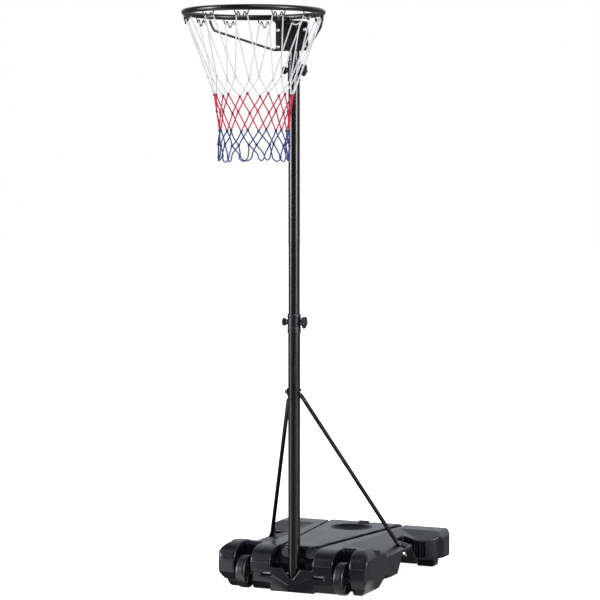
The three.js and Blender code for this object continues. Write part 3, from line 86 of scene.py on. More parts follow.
class Tree:
    """A node tree that is written one node at a time; inputs are values, sockets or nodes."""

    def __init__(self, tree):
        self.tree = tree

    def join(self, value, socket):
        self.tree.links.new(value, socket)

    def node(self, kind, inputs=None, **settings):
        made = self.tree.nodes.new(kind)
        for key, value in settings.items():
            setattr(made, key, value)
        for socket, value in (inputs or {}).items():
            if isinstance(value, bpy.types.Node):
                value = value.outputs[0]
            if isinstance(value, bpy.types.NodeSocket):
                self.join(value, made.inputs[socket])
            else:
                made.inputs[socket].default_value = value
        return made

    def math(self, operation, first, second=0.0, third=0.0):
        made = self.node("ShaderNodeMath", {0: first, 1: second, 2: third}, operation=operation)
        return made.outputs[0]

    def times(self, first, *others):
        for other in others:
            first = self.math("MULTIPLY", first, other)
        return first

    def vector_math(self, operation, first, second=(0, 0, 0), output=0):
        made = self.node("ShaderNodeVectorMath", {0: first, 1: second}, operation=operation)
        return made.outputs[output]

    def range(self, value, low, high, to_low=0.0, to_high=1.0):
        made = self.node("ShaderNodeMapRange", {
            "Value": value, "From Min": low, "From Max": high, "To Min": to_low, "To Max": to_high})
        return made.outputs[0]

    def mix(self, factor, first, second):
        made = self.node("ShaderNodeMix", {0: factor, 6: first, 7: second}, data_type="RGBA")
        return made.outputs[2]

    def noise(self, coordinates, scale, detail=3.0, roughness=0.5):
        made = self.node("ShaderNodeTexNoise", {
            "Vector": coordinates, "Scale": scale, "Detail": detail, "Roughness": roughness})
        return made.outputs[0]

    def parts(self, vector):
        return self.node("ShaderNodeSeparateXYZ", {0: vector}).outputs

    def place(self):
        return self.node("ShaderNodeTexCoord").outputs["Object"]

    def seen(self):
        """1 on rays from the camera, straight or through something clear, and all kinds of ray."""
        rays = self.node("ShaderNodeLightPath").outputs
        return self.math("MAXIMUM", rays["Is Camera Ray"], rays["Is Transmission Ray"]), rays


def effect(name, inputs, outputs):
    """An empty shader node group with named sockets, and its tree, inputs and outputs."""
    group = bpy.data.node_groups.new(name, "ShaderNodeTree")
    for label, kind, value in inputs:
        socket = group.interface.new_socket(label, in_out="INPUT", socket_type="NodeSocket" + kind)
        socket.default_value = value
    for label, kind in outputs:
        group.interface.new_socket(label, in_out="OUTPUT", socket_type="NodeSocket" + kind)
    tree = Tree(group)
    return group, tree, tree.node("NodeGroupInput").outputs, tree.node("NodeGroupOutput").inputs


def surface_grain():
    """Fine pebbled skin of a moulding, with long shallow flow marks."""
    group, tree, given, result = effect("surface_grain", [
        ("Pebble Scale", "Float", 900.0), ("Flow Scale", "Float", 14.0), ("Flow", "Float", 0.35),
    ], [("Height", "Float"), ("Tone", "Float")])
    place = tree.place()
    pebbles = tree.noise(place, given["Pebble Scale"], 2.0, 0.6)
    stretched = tree.vector_math("MULTIPLY", place, (1.0, 0.35, 1.0))
    flow = tree.noise(stretched, given["Flow Scale"], 4.0, 0.55)
    height = tree.math("MULTIPLY_ADD", flow, given["Flow"], pebbles)
    tree.join(height, result["Height"])
    tree.join(flow, result["Tone"])
    return group


def settled_dust():
    """Mask of pale dust that lies on upward faces, thicker in soft patches."""
    group, tree, given, result = effect("settled_dust", [
        ("Amount", "Float", 0.3), ("Patch Scale", "Float", 9.0)], [("Mask", "Float")])
    place = tree.place()
    facing = tree.parts(tree.node("ShaderNodeNewGeometry").outputs["Normal"])[2]
    upward = tree.range(facing, 0.45, 1.0)
    patches = tree.range(tree.noise(place, given["Patch Scale"], 6.0, 0.62), 0.35, 0.75)
    specks = tree.range(tree.noise(place, 420.0, 2.0, 0.7), 0.52, 0.7)
    both = tree.math("MULTIPLY_ADD", specks, 0.35, patches)
    mask = tree.times(both, upward, given["Amount"])
    tree.join(tree.math("MINIMUM", mask, 1.0), result["Mask"])
    return group


def edge_wear():
    """Mask of edges that rub shiny or lose their colour, also used for a painted edge highlight on
    plastics, broken up by patches.
    """
    group, tree, given, result = effect("edge_wear", [
        ("Start", "Float", 0.53), ("Full", "Float", 0.6), ("Patch Scale", "Float", 30.0),
    ], [("Mask", "Float")])
    place = tree.place()
    sharp = tree.node("ShaderNodeNewGeometry").outputs["Pointiness"]
    edge = tree.range(sharp, given["Start"], given["Full"])
    patches = tree.range(tree.noise(place, given["Patch Scale"], 5.0, 0.65), 0.4, 0.62)
    tree.join(tree.times(edge, patches), result["Mask"])
    return group


def fine_scratches():
    """Mask of hairline scratches in two directions."""
    group, tree, given, result = effect("fine_scratches", [
        ("Scale", "Float", 60.0), ("Amount", "Float", 0.5)], [("Mask", "Float")])
    place = tree.place()
    lines = []
    for turn, stretch in ((0.4, (0.04, 1.0, 1.0)), (1.9, (1.0, 1.0, 0.05))):
        turned_place = tree.node("ShaderNodeMapping", {
            "Vector": place, "Rotation": (turn, turn * 0.7, turn * 1.3), "Scale": stretch})
        streak = tree.noise(turned_place, given["Scale"], 3.0, 0.5)
        lines.append(tree.range(streak, 0.66, 0.7))
    both = tree.math("MAXIMUM", *lines)
    breaks = tree.range(tree.noise(place, 7.0, 2.0), 0.45, 0.65)
    tree.join(tree.times(both, breaks, given["Amount"]), result["Mask"])
    return group


def braided_lay():
    """Crossing strands of a braided cord, from the cord's own lay attribute; Tone is painted shade,
    dark in the valleys between strands.
    """
    group, tree, given, result = effect("braided_lay", [
        ("Pitch", "Float", 0.009), ("Strands", "Float", 4.0),
    ], [("Height", "Float"), ("Tone", "Float")])
    lay = tree.parts(tree.node("ShaderNodeAttribute", attribute_name="lay").outputs["Vector"])
    angle = tree.math("ARCTAN2", lay[1], lay[0])
    along = tree.times(tree.math("DIVIDE", lay[2], given["Pitch"]), TURN)
    swing = tree.times(angle, given["Strands"])
    right = tree.math("SINE", tree.math("ADD", along, swing))
    left = tree.math("SINE", tree.math("SUBTRACT", along, swing))
    height = tree.math("MAXIMUM", right, left)
    tree.join(tree.range(height, -0.2, 1.0), result["Height"])
    tree.join(tree.range(height, 0.1, 0.8), result["Tone"])
    return group


EFFECTS = {maker.__name__: maker() for maker in
           (surface_grain, settled_dust, edge_wear, fine_scratches, braided_lay)}


def finish_material(name, roughness, metallic=0.0, specular=0.5):
    """A material with its shader; returns the material, its tree and the shader's inputs."""
    made = bpy.data.materials.new(name)
    made.use_nodes = True
    shader = made.node_tree.nodes["Principled BSDF"].inputs
    for socket, value in (
            ("Roughness", roughness), ("Metallic", metallic), ("Specular IOR Level", specular)):
        shader[socket].default_value = value
    return made, Tree(made.node_tree), shader


def use(tree, name, **values):
    group = tree.node("ShaderNodeGroup", node_tree=EFFECTS[name])
    for key, value in values.items():
        group.inputs[key.replace("_", " ").title()].default_value = value
    return group.outputs


# Finishes, each from its own colours and numbers

DUST_GREY, PALE_DUST = (0.12, 0.12, 0.12, 1), (0.2, 0.19, 0.18, 1)
SCRATCH_GREY, CHIP_GREY = (0.09, 0.09, 0.095, 1), (0.16, 0.16, 0.165, 1)
WARM_GLOSS = (1, 0.97, 0.88, 1)
ZINC_DULL, ZINC_DARK, ZINC_LIGHT = (0.3, 0.3, 0.31, 1), (0.5, 0.51, 0.53, 1), (0.86, 0.87, 0.88, 1)
FLAT = (1, 1, 0)
# Ball dish: its centre, and the radii over which its painted shade, a cut in gloss, fades in
DISH_CENTRE, DISH_RIM = (0, 0.463, 0), (0.066, 0.071)


def bump(tree, height, strength, distance, below=None):
    made = tree.node("ShaderNodeBump", {
        "Height": height, "Strength": strength, "Distance": distance})
    if below is not None:
        tree.join(below, made.inputs["Normal"])
    return made.outputs[0]


def moulded(name, dark, light, roughness, pebble, dust, specular, depth=0.00012, wear_and_highlight_grey=0.04,
            dish=None):
    """Moulded plastic: grain, flow marks, dust, edges lightened by wear and as a painted edge
    highlight, scratches; gloss cut inside a dish as painted shade.
    """
    made, tree, shader = finish_material(name, roughness, specular=specular)
    grain = use(tree, "surface_grain", pebble_scale=pebble)
    lying = use(tree, "settled_dust", amount=dust)["Mask"]
    wear_and_highlight = use(tree, "edge_wear", start=0.515, full=0.57, patch_scale=18.0)["Mask"]
    lines = use(tree, "fine_scratches", amount=0.6)["Mask"]
    colour = tree.mix(tree.range(grain["Tone"], 0.3, 0.7), dark, light)
    # painted highlight: edges drawn towards the given grey, real wear on most plastics and a painted
    # edge highlight on the tank and caps
    colour = tree.mix(wear_and_highlight, colour, (wear_and_highlight_grey, wear_and_highlight_grey, wear_and_highlight_grey * 1.1, 1))
    colour = tree.mix(lying, colour, DUST_GREY)
    tree.join(colour, shader["Base Color"])
    rough = tree.range(grain["Tone"], 0.3, 0.7, roughness - 0.05, roughness + 0.05)
    rough = tree.math("MULTIPLY_ADD", lying, 0.3, rough)
    rough = tree.math("MULTIPLY_ADD", wear_and_highlight, -0.12, rough)
    rough = tree.math("MULTIPLY_ADD", lines, 0.12, rough)
    tree.join(rough, shader["Roughness"])
    fine = bump(tree, grain["Height"], 0.35, depth)
    tree.join(bump(tree, lines, -0.2, 0.0001, fine), shader["Normal"])
    # painted shade: gloss is cut to a quarter inside the ball dish, so that it reads dark
    if dish:
        level = tree.vector_math("MULTIPLY", tree.place(), FLAT)
        away = tree.vector_math("DISTANCE", level, dish, "Value")
        gloss = tree.range(away, *DISH_RIM, specular * 0.25, specular)
        tree.join(gloss, shader["Specular IOR Level"])
    return made


def coated_steel(name, colour, roughness, specular):
    """Powder coat: orange peel, slight tone patches, chipped and rubbed edges."""
    made, tree, shader = finish_material(name, roughness, specular=specular)
    shader["Specular Tint"].default_value = WARM_GLOSS
    place = tree.place()
    peel = tree.noise(place, 700.0, 2.0, 0.45)
    patches = tree.noise(place, 11.0, 5.0, 0.6)
    wear_and_highlight = use(tree, "edge_wear", start=0.56, full=0.64, patch_scale=70.0)["Mask"]
    lines = use(tree, "fine_scratches", scale=90.0, amount=0.7)["Mask"]
    lying = use(tree, "settled_dust", amount=0.12)["Mask"]
    lighter = tuple(1.7 * c for c in colour[:3]) + (1,)
    base = tree.mix(tree.range(patches, 0.35, 0.7), colour, lighter)
    base = tree.mix(tree.times(lines, 0.25), base, SCRATCH_GREY)
    base = tree.mix(tree.times(wear_and_highlight, 0.5), base, CHIP_GREY)
    base = tree.mix(lying, base, PALE_DUST)
    tree.join(base, shader["Base Color"])
    rough = tree.range(patches, 0.3, 0.7, roughness - 0.05, roughness + 0.06)
    tree.join(tree.math("MULTIPLY_ADD", lines, 0.15, rough), shader["Roughness"])
    fine = bump(tree, peel, 0.1, 0.00006)
    tree.join(bump(tree, lines, -0.08, 0.0001, fine), shader["Normal"])
    return made


def zinc_plate(name):
    """Bright zinc: cloudy crystals, turned lines and a dull film in patches."""
    made, tree, shader = finish_material(name, 0.3, metallic=0.6)
    place = tree.place()
    clouds = tree.noise(place, 140.0, 4.0, 0.6)
    lines = use(tree, "fine_scratches", scale=160.0, amount=1.0)["Mask"]
    base = tree.mix(tree.range(clouds, 0.3, 0.7), ZINC_DARK, ZINC_LIGHT)
    tree.join(tree.mix(lines, base, ZINC_DULL), shader["Base Color"])
    tree.join(tree.range(clouds, 0.3, 0.7, 0.42, 0.24), shader["Roughness"])
    tree.join(bump(tree, clouds, 0.25, 0.0001), shader["Normal"])
    return made


def braided_cord(name, dark, light):
    """Braided cord: crossing strands with painted shade between them, fuzz and colour that changes a
    little along it.
    """
    made, tree, shader = finish_material(name, 0.78, specular=0.3)
    shader["Sheen Weight"].default_value = 0.25
    lay = use(tree, "braided_lay")
    place = tree.place()
    fuzz = tree.noise(place, 2600.0, 2.0, 0.7)
    age = tree.noise(place, 24.0, 4.0, 0.6)
    # painted shade: the dark colour fills the valleys between strands, the light one their crowns
    colour = tree.mix(lay["Tone"], dark, light)
    shade = tuple(0.72 * c for c in light[:3]) + (1,)
    colour = tree.mix(tree.range(age, 0.4, 0.75, 0.0, 0.6), colour, shade)
    tree.join(colour, shader["Base Color"])
    tree.join(tree.range(fuzz, 0.3, 0.7, 0.7, 0.88), shader["Roughness"])
    fine = bump(tree, fuzz, 0.3, 0.0001)
    tree.join(bump(tree, lay["Height"], 0.6, 0.0004, fine), shader["Normal"])
    return made


# Plastics: dark and light colour, roughness, grain scale, dust, gloss, and for some the grain's
# depth, the grey of edges lightened by wear and as a painted edge highlight, and the dish whose
# gloss is cut as painted shade. Steel: colour, roughness, gloss. Cords: two colours, the dark one
# painted shade in the valleys between strands
FINISH = {name: maker(name, *values) for name, maker, *values in (
    # tank: its edge grey is a painted edge highlight, and its dish centre places painted shade
    ("tank_plastic", moulded, (0.004, 0.004, 0.006, 1), (0.008, 0.008, 0.011, 1),
     0.24, 700.0, 0.08, 0.42, 0.00008, 0.09, DISH_CENTRE),
    ("moulded_plastic", moulded, (0.006, 0.006, 0.007, 1), (0.01, 0.01, 0.011, 1),
     0.34, 1500.0, 0.06, 0.45),
    ("wheel_plastic", moulded, (0.006, 0.006, 0.007, 1), (0.011, 0.011, 0.012, 1),
     0.3, 1200.0, 0.08, 0.5),
    ("black_steel", coated_steel, (0.0035, 0.0035, 0.004, 1), 0.2, 0.5),
    ("zinc_steel", zinc_plate),
    # caps: the light edge grey is a painted highlight on the fluted rim
    ("cap_plastic", moulded, (0.07, 0.07, 0.078, 1), (0.11, 0.11, 0.12, 1),
     0.25, 1500.0, 0.15, 0.5, 0.0001, 0.2),
    ("white_cord", braided_cord, (0.6, 0.6, 0.61, 1), (0.86, 0.86, 0.865, 1)),
    ("red_cord", braided_cord, (0.36, 0.006, 0.03, 1), (0.68, 0.02, 0.065, 1)),
    ("blue_cord", braided_cord, (0.009, 0.018, 0.11, 1), (0.026, 0.052, 0.29, 1)))}


# Shapes: each maker returns points in millimetres and faces that join them

BLUNT_END, WELD_REACH = 0.75, 2e-6


def around(radius, angle):
    return radius * math.cos(angle), radius * math.sin(angle)


def eased(share):
    return share * share * (3 - 2 * share)


def fillet(points, radius, closed=False, steps=4):
    """A profile with each corner rounded by a short curve."""
    rounded = []
    for index, here in enumerate(points):
        corner = Vector(here)
        if not closed and index in (0, len(points) - 1):
            rounded.append(corner)
            continue
        before = Vector(points[index - 1]) - corner
        after = Vector(points[(index + 1) % len(points)]) - corner
        reach = min(radius, before.length / 2, after.length / 2)
        start = corner + before.normalized() * reach
        end = corner + after.normalized() * reach
        for step in range(steps + 1):
            share = step / steps
            rounded.append(start.lerp(corner, share).lerp(corner.lerp(end, share), share))
    return rounded


def oblong(left, right, low, high, edge, steps=2):
    """A closed rectangle with rounded corners."""
    return fillet([(left, low), (right, low), (right, high), (left, high)], edge, True, steps)


def held(profile, closed=False, margin=0.6):
    """A profile with a point near each end of its long runs, so that flats are shaded flat."""
    result = []
    for index, here in enumerate(profile):
        here = Vector(here)
        result.append(here)
        if index == len(profile) - 1 and not closed:
            break
        run = Vector(profile[(index + 1) % len(profile)]) - here
        if run.length > 5 * margin:
            result.append(here + run.normalized() * margin)
            result.append(here + run - run.normalized() * margin)
    return result


def turned(profile, segments=48, closed=False, swell=None):
    """A profile of (radius, height) turned about Z; swell(angle, radius, height) shapes it."""
    points, faces, rings = [], [], []
    for radius, height in held(profile, closed):
        if radius < 1e-6:
            rings.append([len(points)])
            points.append(Vector((0, 0, height)))
            continue
        ring = []
        for step in range(segments):
            angle = TURN * step / segments
            reach = swell(angle, radius, height) if swell else radius
            ring.append(len(points))
            points.append(Vector((*around(reach, angle), height)))
        rings.append(ring)
    followers = rings[1:] + ([rings[0]] if closed else [])
    for lower, upper in zip(rings, followers):
        faces.extend(band(lower, upper))
    return points, faces


def band(lower, upper):
    """Faces between two rings of points, one of which may be a single point."""
    count = max(len(lower), len(upper))
    faces = []
    for step in range(count):
        corners = [lower[step % len(lower)], lower[(step + 1) % len(lower)],
                   upper[(step + 1) % len(upper)], upper[step % len(upper)]]
        face = list(dict.fromkeys(corners))
        if len(face) > 2:
            faces.append(face)
    return faces


def lofted(rings):
    """Rings of points joined in turn, with both ends closed."""
    points = [Vector(point) for ring in rings for point in ring]
    count = len(rings[0])
    index = [list(range(at * count, (at + 1) * count)) for at in range(len(rings))]
    faces = [index[0][::-1], index[-1]]
    for lower, upper in zip(index, index[1:]):
        faces.extend(band(lower, upper))
    return points, faces


def rounded_box(half, edge, steps=3):
    """A box about the origin with half sizes along X, Y and Z and rounded edges."""
    x, y, z = half
    plan = oblong(-x, x, -y, y, edge, steps)
    angles = [math.pi / 2 * step / steps for step in range(steps + 1)]
    bottom = [(edge * (1 - math.sin(angle)), -z + edge * (1 - math.cos(angle))) for angle in angles]
    sections = bottom + [(inset, -height) for inset, height in reversed(bottom)]
    return lofted([[(point[0] * (x - inset) / x, point[1] * (y - inset) / y, height)
                    for point in plan] for inset, height in sections])


def smooth_path(points, step):
    """A path through the points, rounded and cut into short even steps."""
    stops = [Vector(point) for point in points]
    ends = [2 * stops[0] - stops[1]] + stops + [2 * stops[-1] - stops[-2]]
    path = []
    for p0, p1, p2, p3 in zip(ends, ends[1:], ends[2:], ends[3:]):
        pieces = max(2, int((p2 - p1).length / step))
        for at in range(pieces):
            t = at / pieces
            path.append(0.5 * (2 * p1 + (p2 - p0) * t + (2 * p0 - 5 * p1 + 4 * p2 - p3) * t ** 2
                               + (3 * p1 - p0 - 3 * p2 + p3) * t ** 3))
    path.append(stops[-1])
    return path


def frames_along(path):
    """The path's points with two directions across it that never spin."""
    across = None
    result = []
    for index, here in enumerate(path):
        ahead = path[min(index + 1, len(path) - 1)] - path[max(index - 1, 0)]
        ahead.normalize()
        if across is None:
            across = ahead.orthogonal().normalized()
        across = (across - ahead * across.dot(ahead)).normalized()
        result.append((here, across, ahead.cross(across)))
    return result


def rod(path, radius, sides=16):
    """A round rod along a path, its ends slightly rounded."""
    rings = []
    stations = frames_along(path)
    turns = [around(1, TURN * k / sides) for k in range(sides)]
    for index, (here, across, other) in enumerate(stations):
        size = radius * BLUNT_END if index in (0, len(stations) - 1) else radius
        rings.append([here + (across * x + other * y) * size for x, y in turns])
    return lofted(rings)


class Form:
    """Points and faces of one piece, put together shape by shape."""

    def __init__(self):
        self.points, self.faces, self.lay = [], [], []

    def add(self, shape, matrix=None, lay=None):
        points, faces = shape
        first = len(self.points)
        for index, point in enumerate(points):
            self.points.append(matrix @ point if matrix else point)
            self.lay.append(lay[index] if lay else (1.0, 0.0, 0.0))
        self.faces.extend([first + corner for corner in face] for face in faces)
        return self

    def mesh(self, name, sharp=32.0, weld=True):
        made = bpy.data.meshes.new(name)
        made.from_pydata([point * MM for point in self.points], [], self.faces)
        lay = made.attributes.new("lay", "FLOAT_VECTOR", "POINT")
        lay.data.foreach_set("vector", [value for triple in self.lay for value in triple])
        cleaner = bmesh.new()
        cleaner.from_mesh(made)
        if weld:
            bmesh.ops.remove_doubles(cleaner, verts=cleaner.verts, dist=WELD_REACH)
        bmesh.ops.recalc_face_normals(cleaner, faces=cleaner.faces)
        cleaner.to_mesh(made)
        cleaner.free()
        for face in made.polygons:
            face.use_smooth = True
        made.set_sharp_from_angle(angle=math.radians(sharp))
        return made


def show(name, mesh, slot, body, *nodes, finish=None):
    """Puts a finished piece in the scene, on its body and in place of its solids."""
    piece = placed(name, mesh)
    mesh.materials.clear()
    mesh.materials.append(FINISH[finish or slot])
    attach(piece, body)
    if nodes:
        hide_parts(*nodes)


def dress(name, shape, slot, body, place=None, sharp=32.0):
    """Shows one shape in place of the solid that has the same name."""
    show(name, Form().add(shape, place).mesh(name, sharp), slot, body, name)


def evaluated(piece, name):
    """The plain mesh that a piece's modifiers make; the piece itself is taken away."""
    bpy.context.view_layer.update()
    graph = bpy.context.evaluated_depsgraph_get()
    made = bpy.data.meshes.new_from_object(piece.evaluated_get(graph), depsgraph=graph)
    made.name = name
    bpy.data.objects.remove(piece)
    return made


def show_grown(name, mesh, tree, slot, body, **values):
    """Shows the plain mesh that a Geometry Nodes tree makes from a mesh and its named inputs."""
    seed = placed(name + "_seed", mesh)
    modifier = seed.modifiers.new("grown", "NODES")
    modifier.node_group = tree
    values["finish"] = FINISH[slot]
    for item in tree.interface.items_tree:
        key = item.name.lower().replace(" ", "_")
        if item.in_out == "INPUT" and key in values:
            modifier[item.identifier] = values[key]
    show(name, evaluated(seed, name), slot, body)


def geometry_tree(name, inputs):
    """An empty Geometry Nodes tree with a geometry in and out and named inputs."""
    group = bpy.data.node_groups.new(name, "GeometryNodeTree")
    group.interface.new_socket("Geometry", in_out="INPUT", socket_type="NodeSocketGeometry")
    for label, kind, value in inputs:
        socket = group.interface.new_socket(label, in_out="INPUT", socket_type="NodeSocket" + kind)
        if value is not None:
            socket.default_value = value
    group.interface.new_socket("Geometry", in_out="OUTPUT", socket_type="NodeSocketGeometry")
    tree = Tree(group)
    return group, tree, tree.node("NodeGroupInput").outputs, tree.node("NodeGroupOutput").inputs


def end_in_copies(tree, given, result, points, shape, smooth, **change):
    """Puts turned or scaled copies of a shape on points, as plain mesh with the given finish."""
    made = tree.node("GeometryNodeInstanceOnPoints", {
        "Points": points, "Instance": shape, **change})
    made = tree.node("GeometryNodeRealizeInstances", {0: made})
    if smooth:
        made = tree.node("GeometryNodeSetShadeSmooth", {0: made})
    made = tree.node("GeometryNodeSetMaterial", {0: made, "Material": given["Finish"]})
    tree.join(made.outputs[0], result["Geometry"])


def repeat_around_tree():
    """Repeats the piece's own mesh in equal turns about an axis through a centre."""
    group, tree, given, result = geometry_tree("repeat_around", [
        ("Count", "Int", 12), ("Centre", "Vector", (0, 0, 0)), ("Axis", "Vector", (0, 0, 1)),
        ("First Turn", "Float", 0.0), ("Finish", "Material", None)])
    places = tree.node("GeometryNodePoints", {"Count": given["Count"], "Position": given["Centre"]})
    number = tree.node("GeometryNodeInputIndex").outputs[0]
    step = tree.math("DIVIDE", TURN, given["Count"])
    turn = tree.math("MULTIPLY_ADD", number, step, given["First Turn"])
    spin = tree.node("ShaderNodeVectorMath", {0: given["Axis"], "Scale": turn}, operation="SCALE")
    end_in_copies(tree, given, result, places, given["Geometry"], False, Rotation=spin)
    return group


def tied_knots_tree():
    """Ties a knot of three crossing turns of cord on each point, each knot turned its own way."""
    group, tree, given, result = geometry_tree("tied_knots", [
        ("Knot Radius", "Float", 0.003), ("Cord Radius", "Float", 0.002), ("Seed", "Int", 3),
        ("Finish", "Material", None)])
    section = tree.node("GeometryNodeCurvePrimitiveCircle", {
        "Resolution": 8, "Radius": given["Cord Radius"]})
    turns = []
    for angles in ((0.5, 0.2, 0.0), (-0.9, 0.6, 0.4), (1.5, -0.3, 0.9)):
        loop = tree.node("GeometryNodeCurvePrimitiveCircle", {
            "Resolution": 14, "Radius": given["Knot Radius"]})
        cord = tree.node("GeometryNodeCurveToMesh", {"Curve": loop, "Profile Curve": section})
        turns.append(tree.node("GeometryNodeTransform", {"Geometry": cord, "Rotation": angles}))
    knot = tree.node("GeometryNodeJoinGeometry")
    for shape in turns:
        tree.join(shape.outputs[0], knot.inputs[0])
    spin = tree.node("FunctionNodeRandomValue", {
        0: (0.0, 0.0, 0.0), 1: (0.7, 0.7, TURN), "Seed": given["Seed"]}, data_type="FLOAT_VECTOR")
    end_in_copies(tree, given, result, given["Geometry"], knot, True, Rotation=spin)
    return group


def weld_bead_tree():
    """Lays overlapping weld drops of uneven size along the edges of the given mesh."""
    group, tree, given, result = geometry_tree("weld_bead", [
        ("Spacing", "Float", 0.0016), ("Drop Radius", "Float", 0.0019), ("Seed", "Int", 7),
        ("Finish", "Material", None)])
    line = tree.node("GeometryNodeMeshToCurve", {0: given["Geometry"]})
    places = tree.node("GeometryNodeResampleCurve", {
        "Curve": line, "Length": given["Spacing"]}, mode="LENGTH")
    drop = tree.node("GeometryNodeMeshIcoSphere", {
        "Radius": given["Drop Radius"], "Subdivisions": 2})
    size = tree.node("FunctionNodeRandomValue", {
        2: 0.8, 3: 1.2, "Seed": given["Seed"]}, data_type="FLOAT")
    end_in_copies(tree, given, result, places, drop, True, Scale=size.outputs[1])
    return group


REPEAT_AROUND = repeat_around_tree()
TIED_KNOTS = tied_knots_tree()
WELD_BEAD = weld_bead_tree()


# The pole: three tubes, one in another, with clamp collars and their knobs

WALL, SEAT = 0.8, 0.3
LOWER_RADIUS, MID_RADIUS, TOP_RADIUS = 18.25, 17.15, 16.05
LOWER_FOOT, MID_FOOT, TOP_FOOT = 33, 622, 880
LOWER_END, MID_END, TOP_END = 836, 1592, 1703
LOWER_SCREW, UPPER_SCREW = 818.0, 1572.0
COLLAR_WALL, COLLAR_BELOW, BOSS_RISE, RIBS, RIB_RISE = 1.4, 33, 3.2, 16, 13

# Outlines of the two kinds of knob: radius, and height over the collar's boss
STAR_GRIP = ((4, 0), (8.6, 0), (9.4, 2.8), (16.5, 3.2), (19.5, 6.2), (19.5, 11), (16, 15.2),
             (8.5, 15.5), (6.5, 13.4), (0, 13.2))
ROUND_GRIP = ((4, 0), (7, 0), (7, 3.4), (11.6, 5), (12.5, 7.5), (12.3, 11), (9, 14), (0, 14.5))


def pole_tube(name, radius, bottom, top, body):
    profile = fillet([(radius, bottom), (radius, top), (radius - WALL, top),
                      (radius - WALL, bottom)], 0.35, True, 2)
    dress(name, turned(profile, 96, closed=True), "black_steel", body)


def end_plug(name, radius, level, facing, body):
    """A plug in a tube's end: ribbed spigot inside, thin domed flange outside."""
    spigot = radius - WALL - SEAT
    profile = [(0, -11), (spigot - 1, -11), (spigot, -9.5)]
    for rib in (-8, -6, -4, -2):
        profile += [(spigot, rib - 0.6), (spigot - 0.6, rib), (spigot, rib + 0.6)]
    profile += [(spigot, 0.3), (radius, 0.3)]
    profile += fillet([(radius, 1.2), (radius - 0.6, 2.6), (radius - 5, 3.2), (0, 3.3)], 0.8,
                      False, 3)
    place = moved(0, 0, level) @ Matrix.Diagonal((1, 1, facing, 1))
    dress(name, turned(profile, 48), "moulded_plastic", body, place)


def clamp_collar(name, outer, inner, screw, tube_top, body):
    """A clamp collar: sleeve with a bead at each end, two screw bosses and finger ribs."""
    bore = outer + SEAT
    skin = bore + COLLAR_WALL
    low, high, boss_top = screw - COLLAR_BELOW, tube_top + SEAT, skin + BOSS_RISE
    profile = fillet([
        (bore, low), (skin + 0.5, low), (skin + 0.7, low + 4.5), (skin, low + 5.5),
        (skin, high - 4), (skin + 0.6, high - 3), (skin + 0.6, high + 3), (skin - 0.8, high + 7),
        (inner + SEAT, high + 7), (inner + SEAT, high), (bore, high)], 0.7, True, 3)
    form = Form().add(turned(profile, 72, closed=True))
    boss = fillet([(0, outer + 1.0), (8.8, outer + 1.0), (8.2, boss_top), (0, boss_top)], 0.6)
    for way in (ALONG_X, AGAINST_X):
        form.add(turned(boss, 36), moved(0, 0, screw) @ way)
    show(name, form.mesh(name), "moulded_plastic", body, name)
    rib = Form().add(rounded_box((0.55, 0.9, 6.0), 0.4, 2), moved(skin, 0, 0))
    show_grown(name + "_grip", rib.mesh("collar_rib"), REPEAT_AROUND, "moulded_plastic", body,
               count=RIBS, centre=(0, 0, (low + RIB_RISE) * MM), first_turn=TURN / (2 * RIBS))


def lobes(count, depth, inner, rim):
    """Swell of a knob's rim: full at each lobe, drawn in between them."""
    def swell(angle, radius, _height):
        share = eased(min(max((radius - inner) / (rim - inner), 0), 1))
        return radius - depth * share * (1 - math.cos(count * angle)) / 2
    return swell


def clamp_knob(name, outer, inner, screw, way, grip, edge, steps, segments, swell):
    """A knob on the collar's boss, its screw reaching the inner tube; grip is its outline."""
    tip, seat = inner + SEAT, outer + SEAT + COLLAR_WALL + BOSS_RISE + SEAT
    profile = [(0, tip), (3.2, tip), (4, tip + 0.8), (4, seat)]
    profile += fillet([(radius, seat + rise) for radius, rise in grip], edge, False, steps)[1:]
    dress(name, turned(profile, segments, swell=swell), "moulded_plastic", name,
          moved(0, 0, screw) @ way)


def make_pole():
    pole_tube("lower_pole", LOWER_RADIUS, LOWER_FOOT, LOWER_END, "base")
    pole_tube("mid_pole", MID_RADIUS, MID_FOOT, MID_END, "mid_section")
    pole_tube("top_pole", TOP_RADIUS, TOP_FOOT, TOP_END, "top_section")
    end_plug("pole_foot_plug", LOWER_RADIUS, LOWER_FOOT, -1, "base")
    end_plug("mid_pole_bush", MID_RADIUS, MID_FOOT, -1, "mid_section")
    end_plug("top_pole_bush", TOP_RADIUS, TOP_FOOT, -1, "top_section")
    end_plug("pole_top_cap", TOP_RADIUS, TOP_END, 1, "top_section")
    lower = (LOWER_RADIUS, MID_RADIUS, LOWER_SCREW)
    upper = (MID_RADIUS, TOP_RADIUS, UPPER_SCREW)
    clamp_collar("lower_collar", *lower, LOWER_END, "base")
    clamp_collar("upper_collar", *upper, MID_END, "mid_section")
    for name, joint in (("lower_star_knob", lower), ("upper_star_knob", upper)):
        clamp_knob(name, *joint, ALONG_X, STAR_GRIP, 2.2, 5, 120, lobes(5, 5.2, 9.5, 18.5))
    for name, joint in (("lower_round_knob", lower), ("upper_round_knob", upper)):
        clamp_knob(name, *joint, AGAINST_X, ROUND_GRIP, 1.6, 4, 144, lobes(18, 0.7, 9.5, 12))


# Fasteners

def hex_nut(bore, corner, height):
    """A hexagon nut on the origin's plane, its corners cut by a cone."""
    def swell(angle, radius, _level):
        flat = corner * math.cos(math.pi / 6) / math.cos(angle % (math.pi / 3) - math.pi / 6)
        return radius if radius <= bore + 0.5 else min(flat, radius)
    profile = [(bore, 0), (corner * 0.9, 0), (corner, height * 0.14), (corner, height * 0.86),
               (corner * 0.9, height), (bore, height)]
    return turned(profile, 48, closed=True, swell=swell)


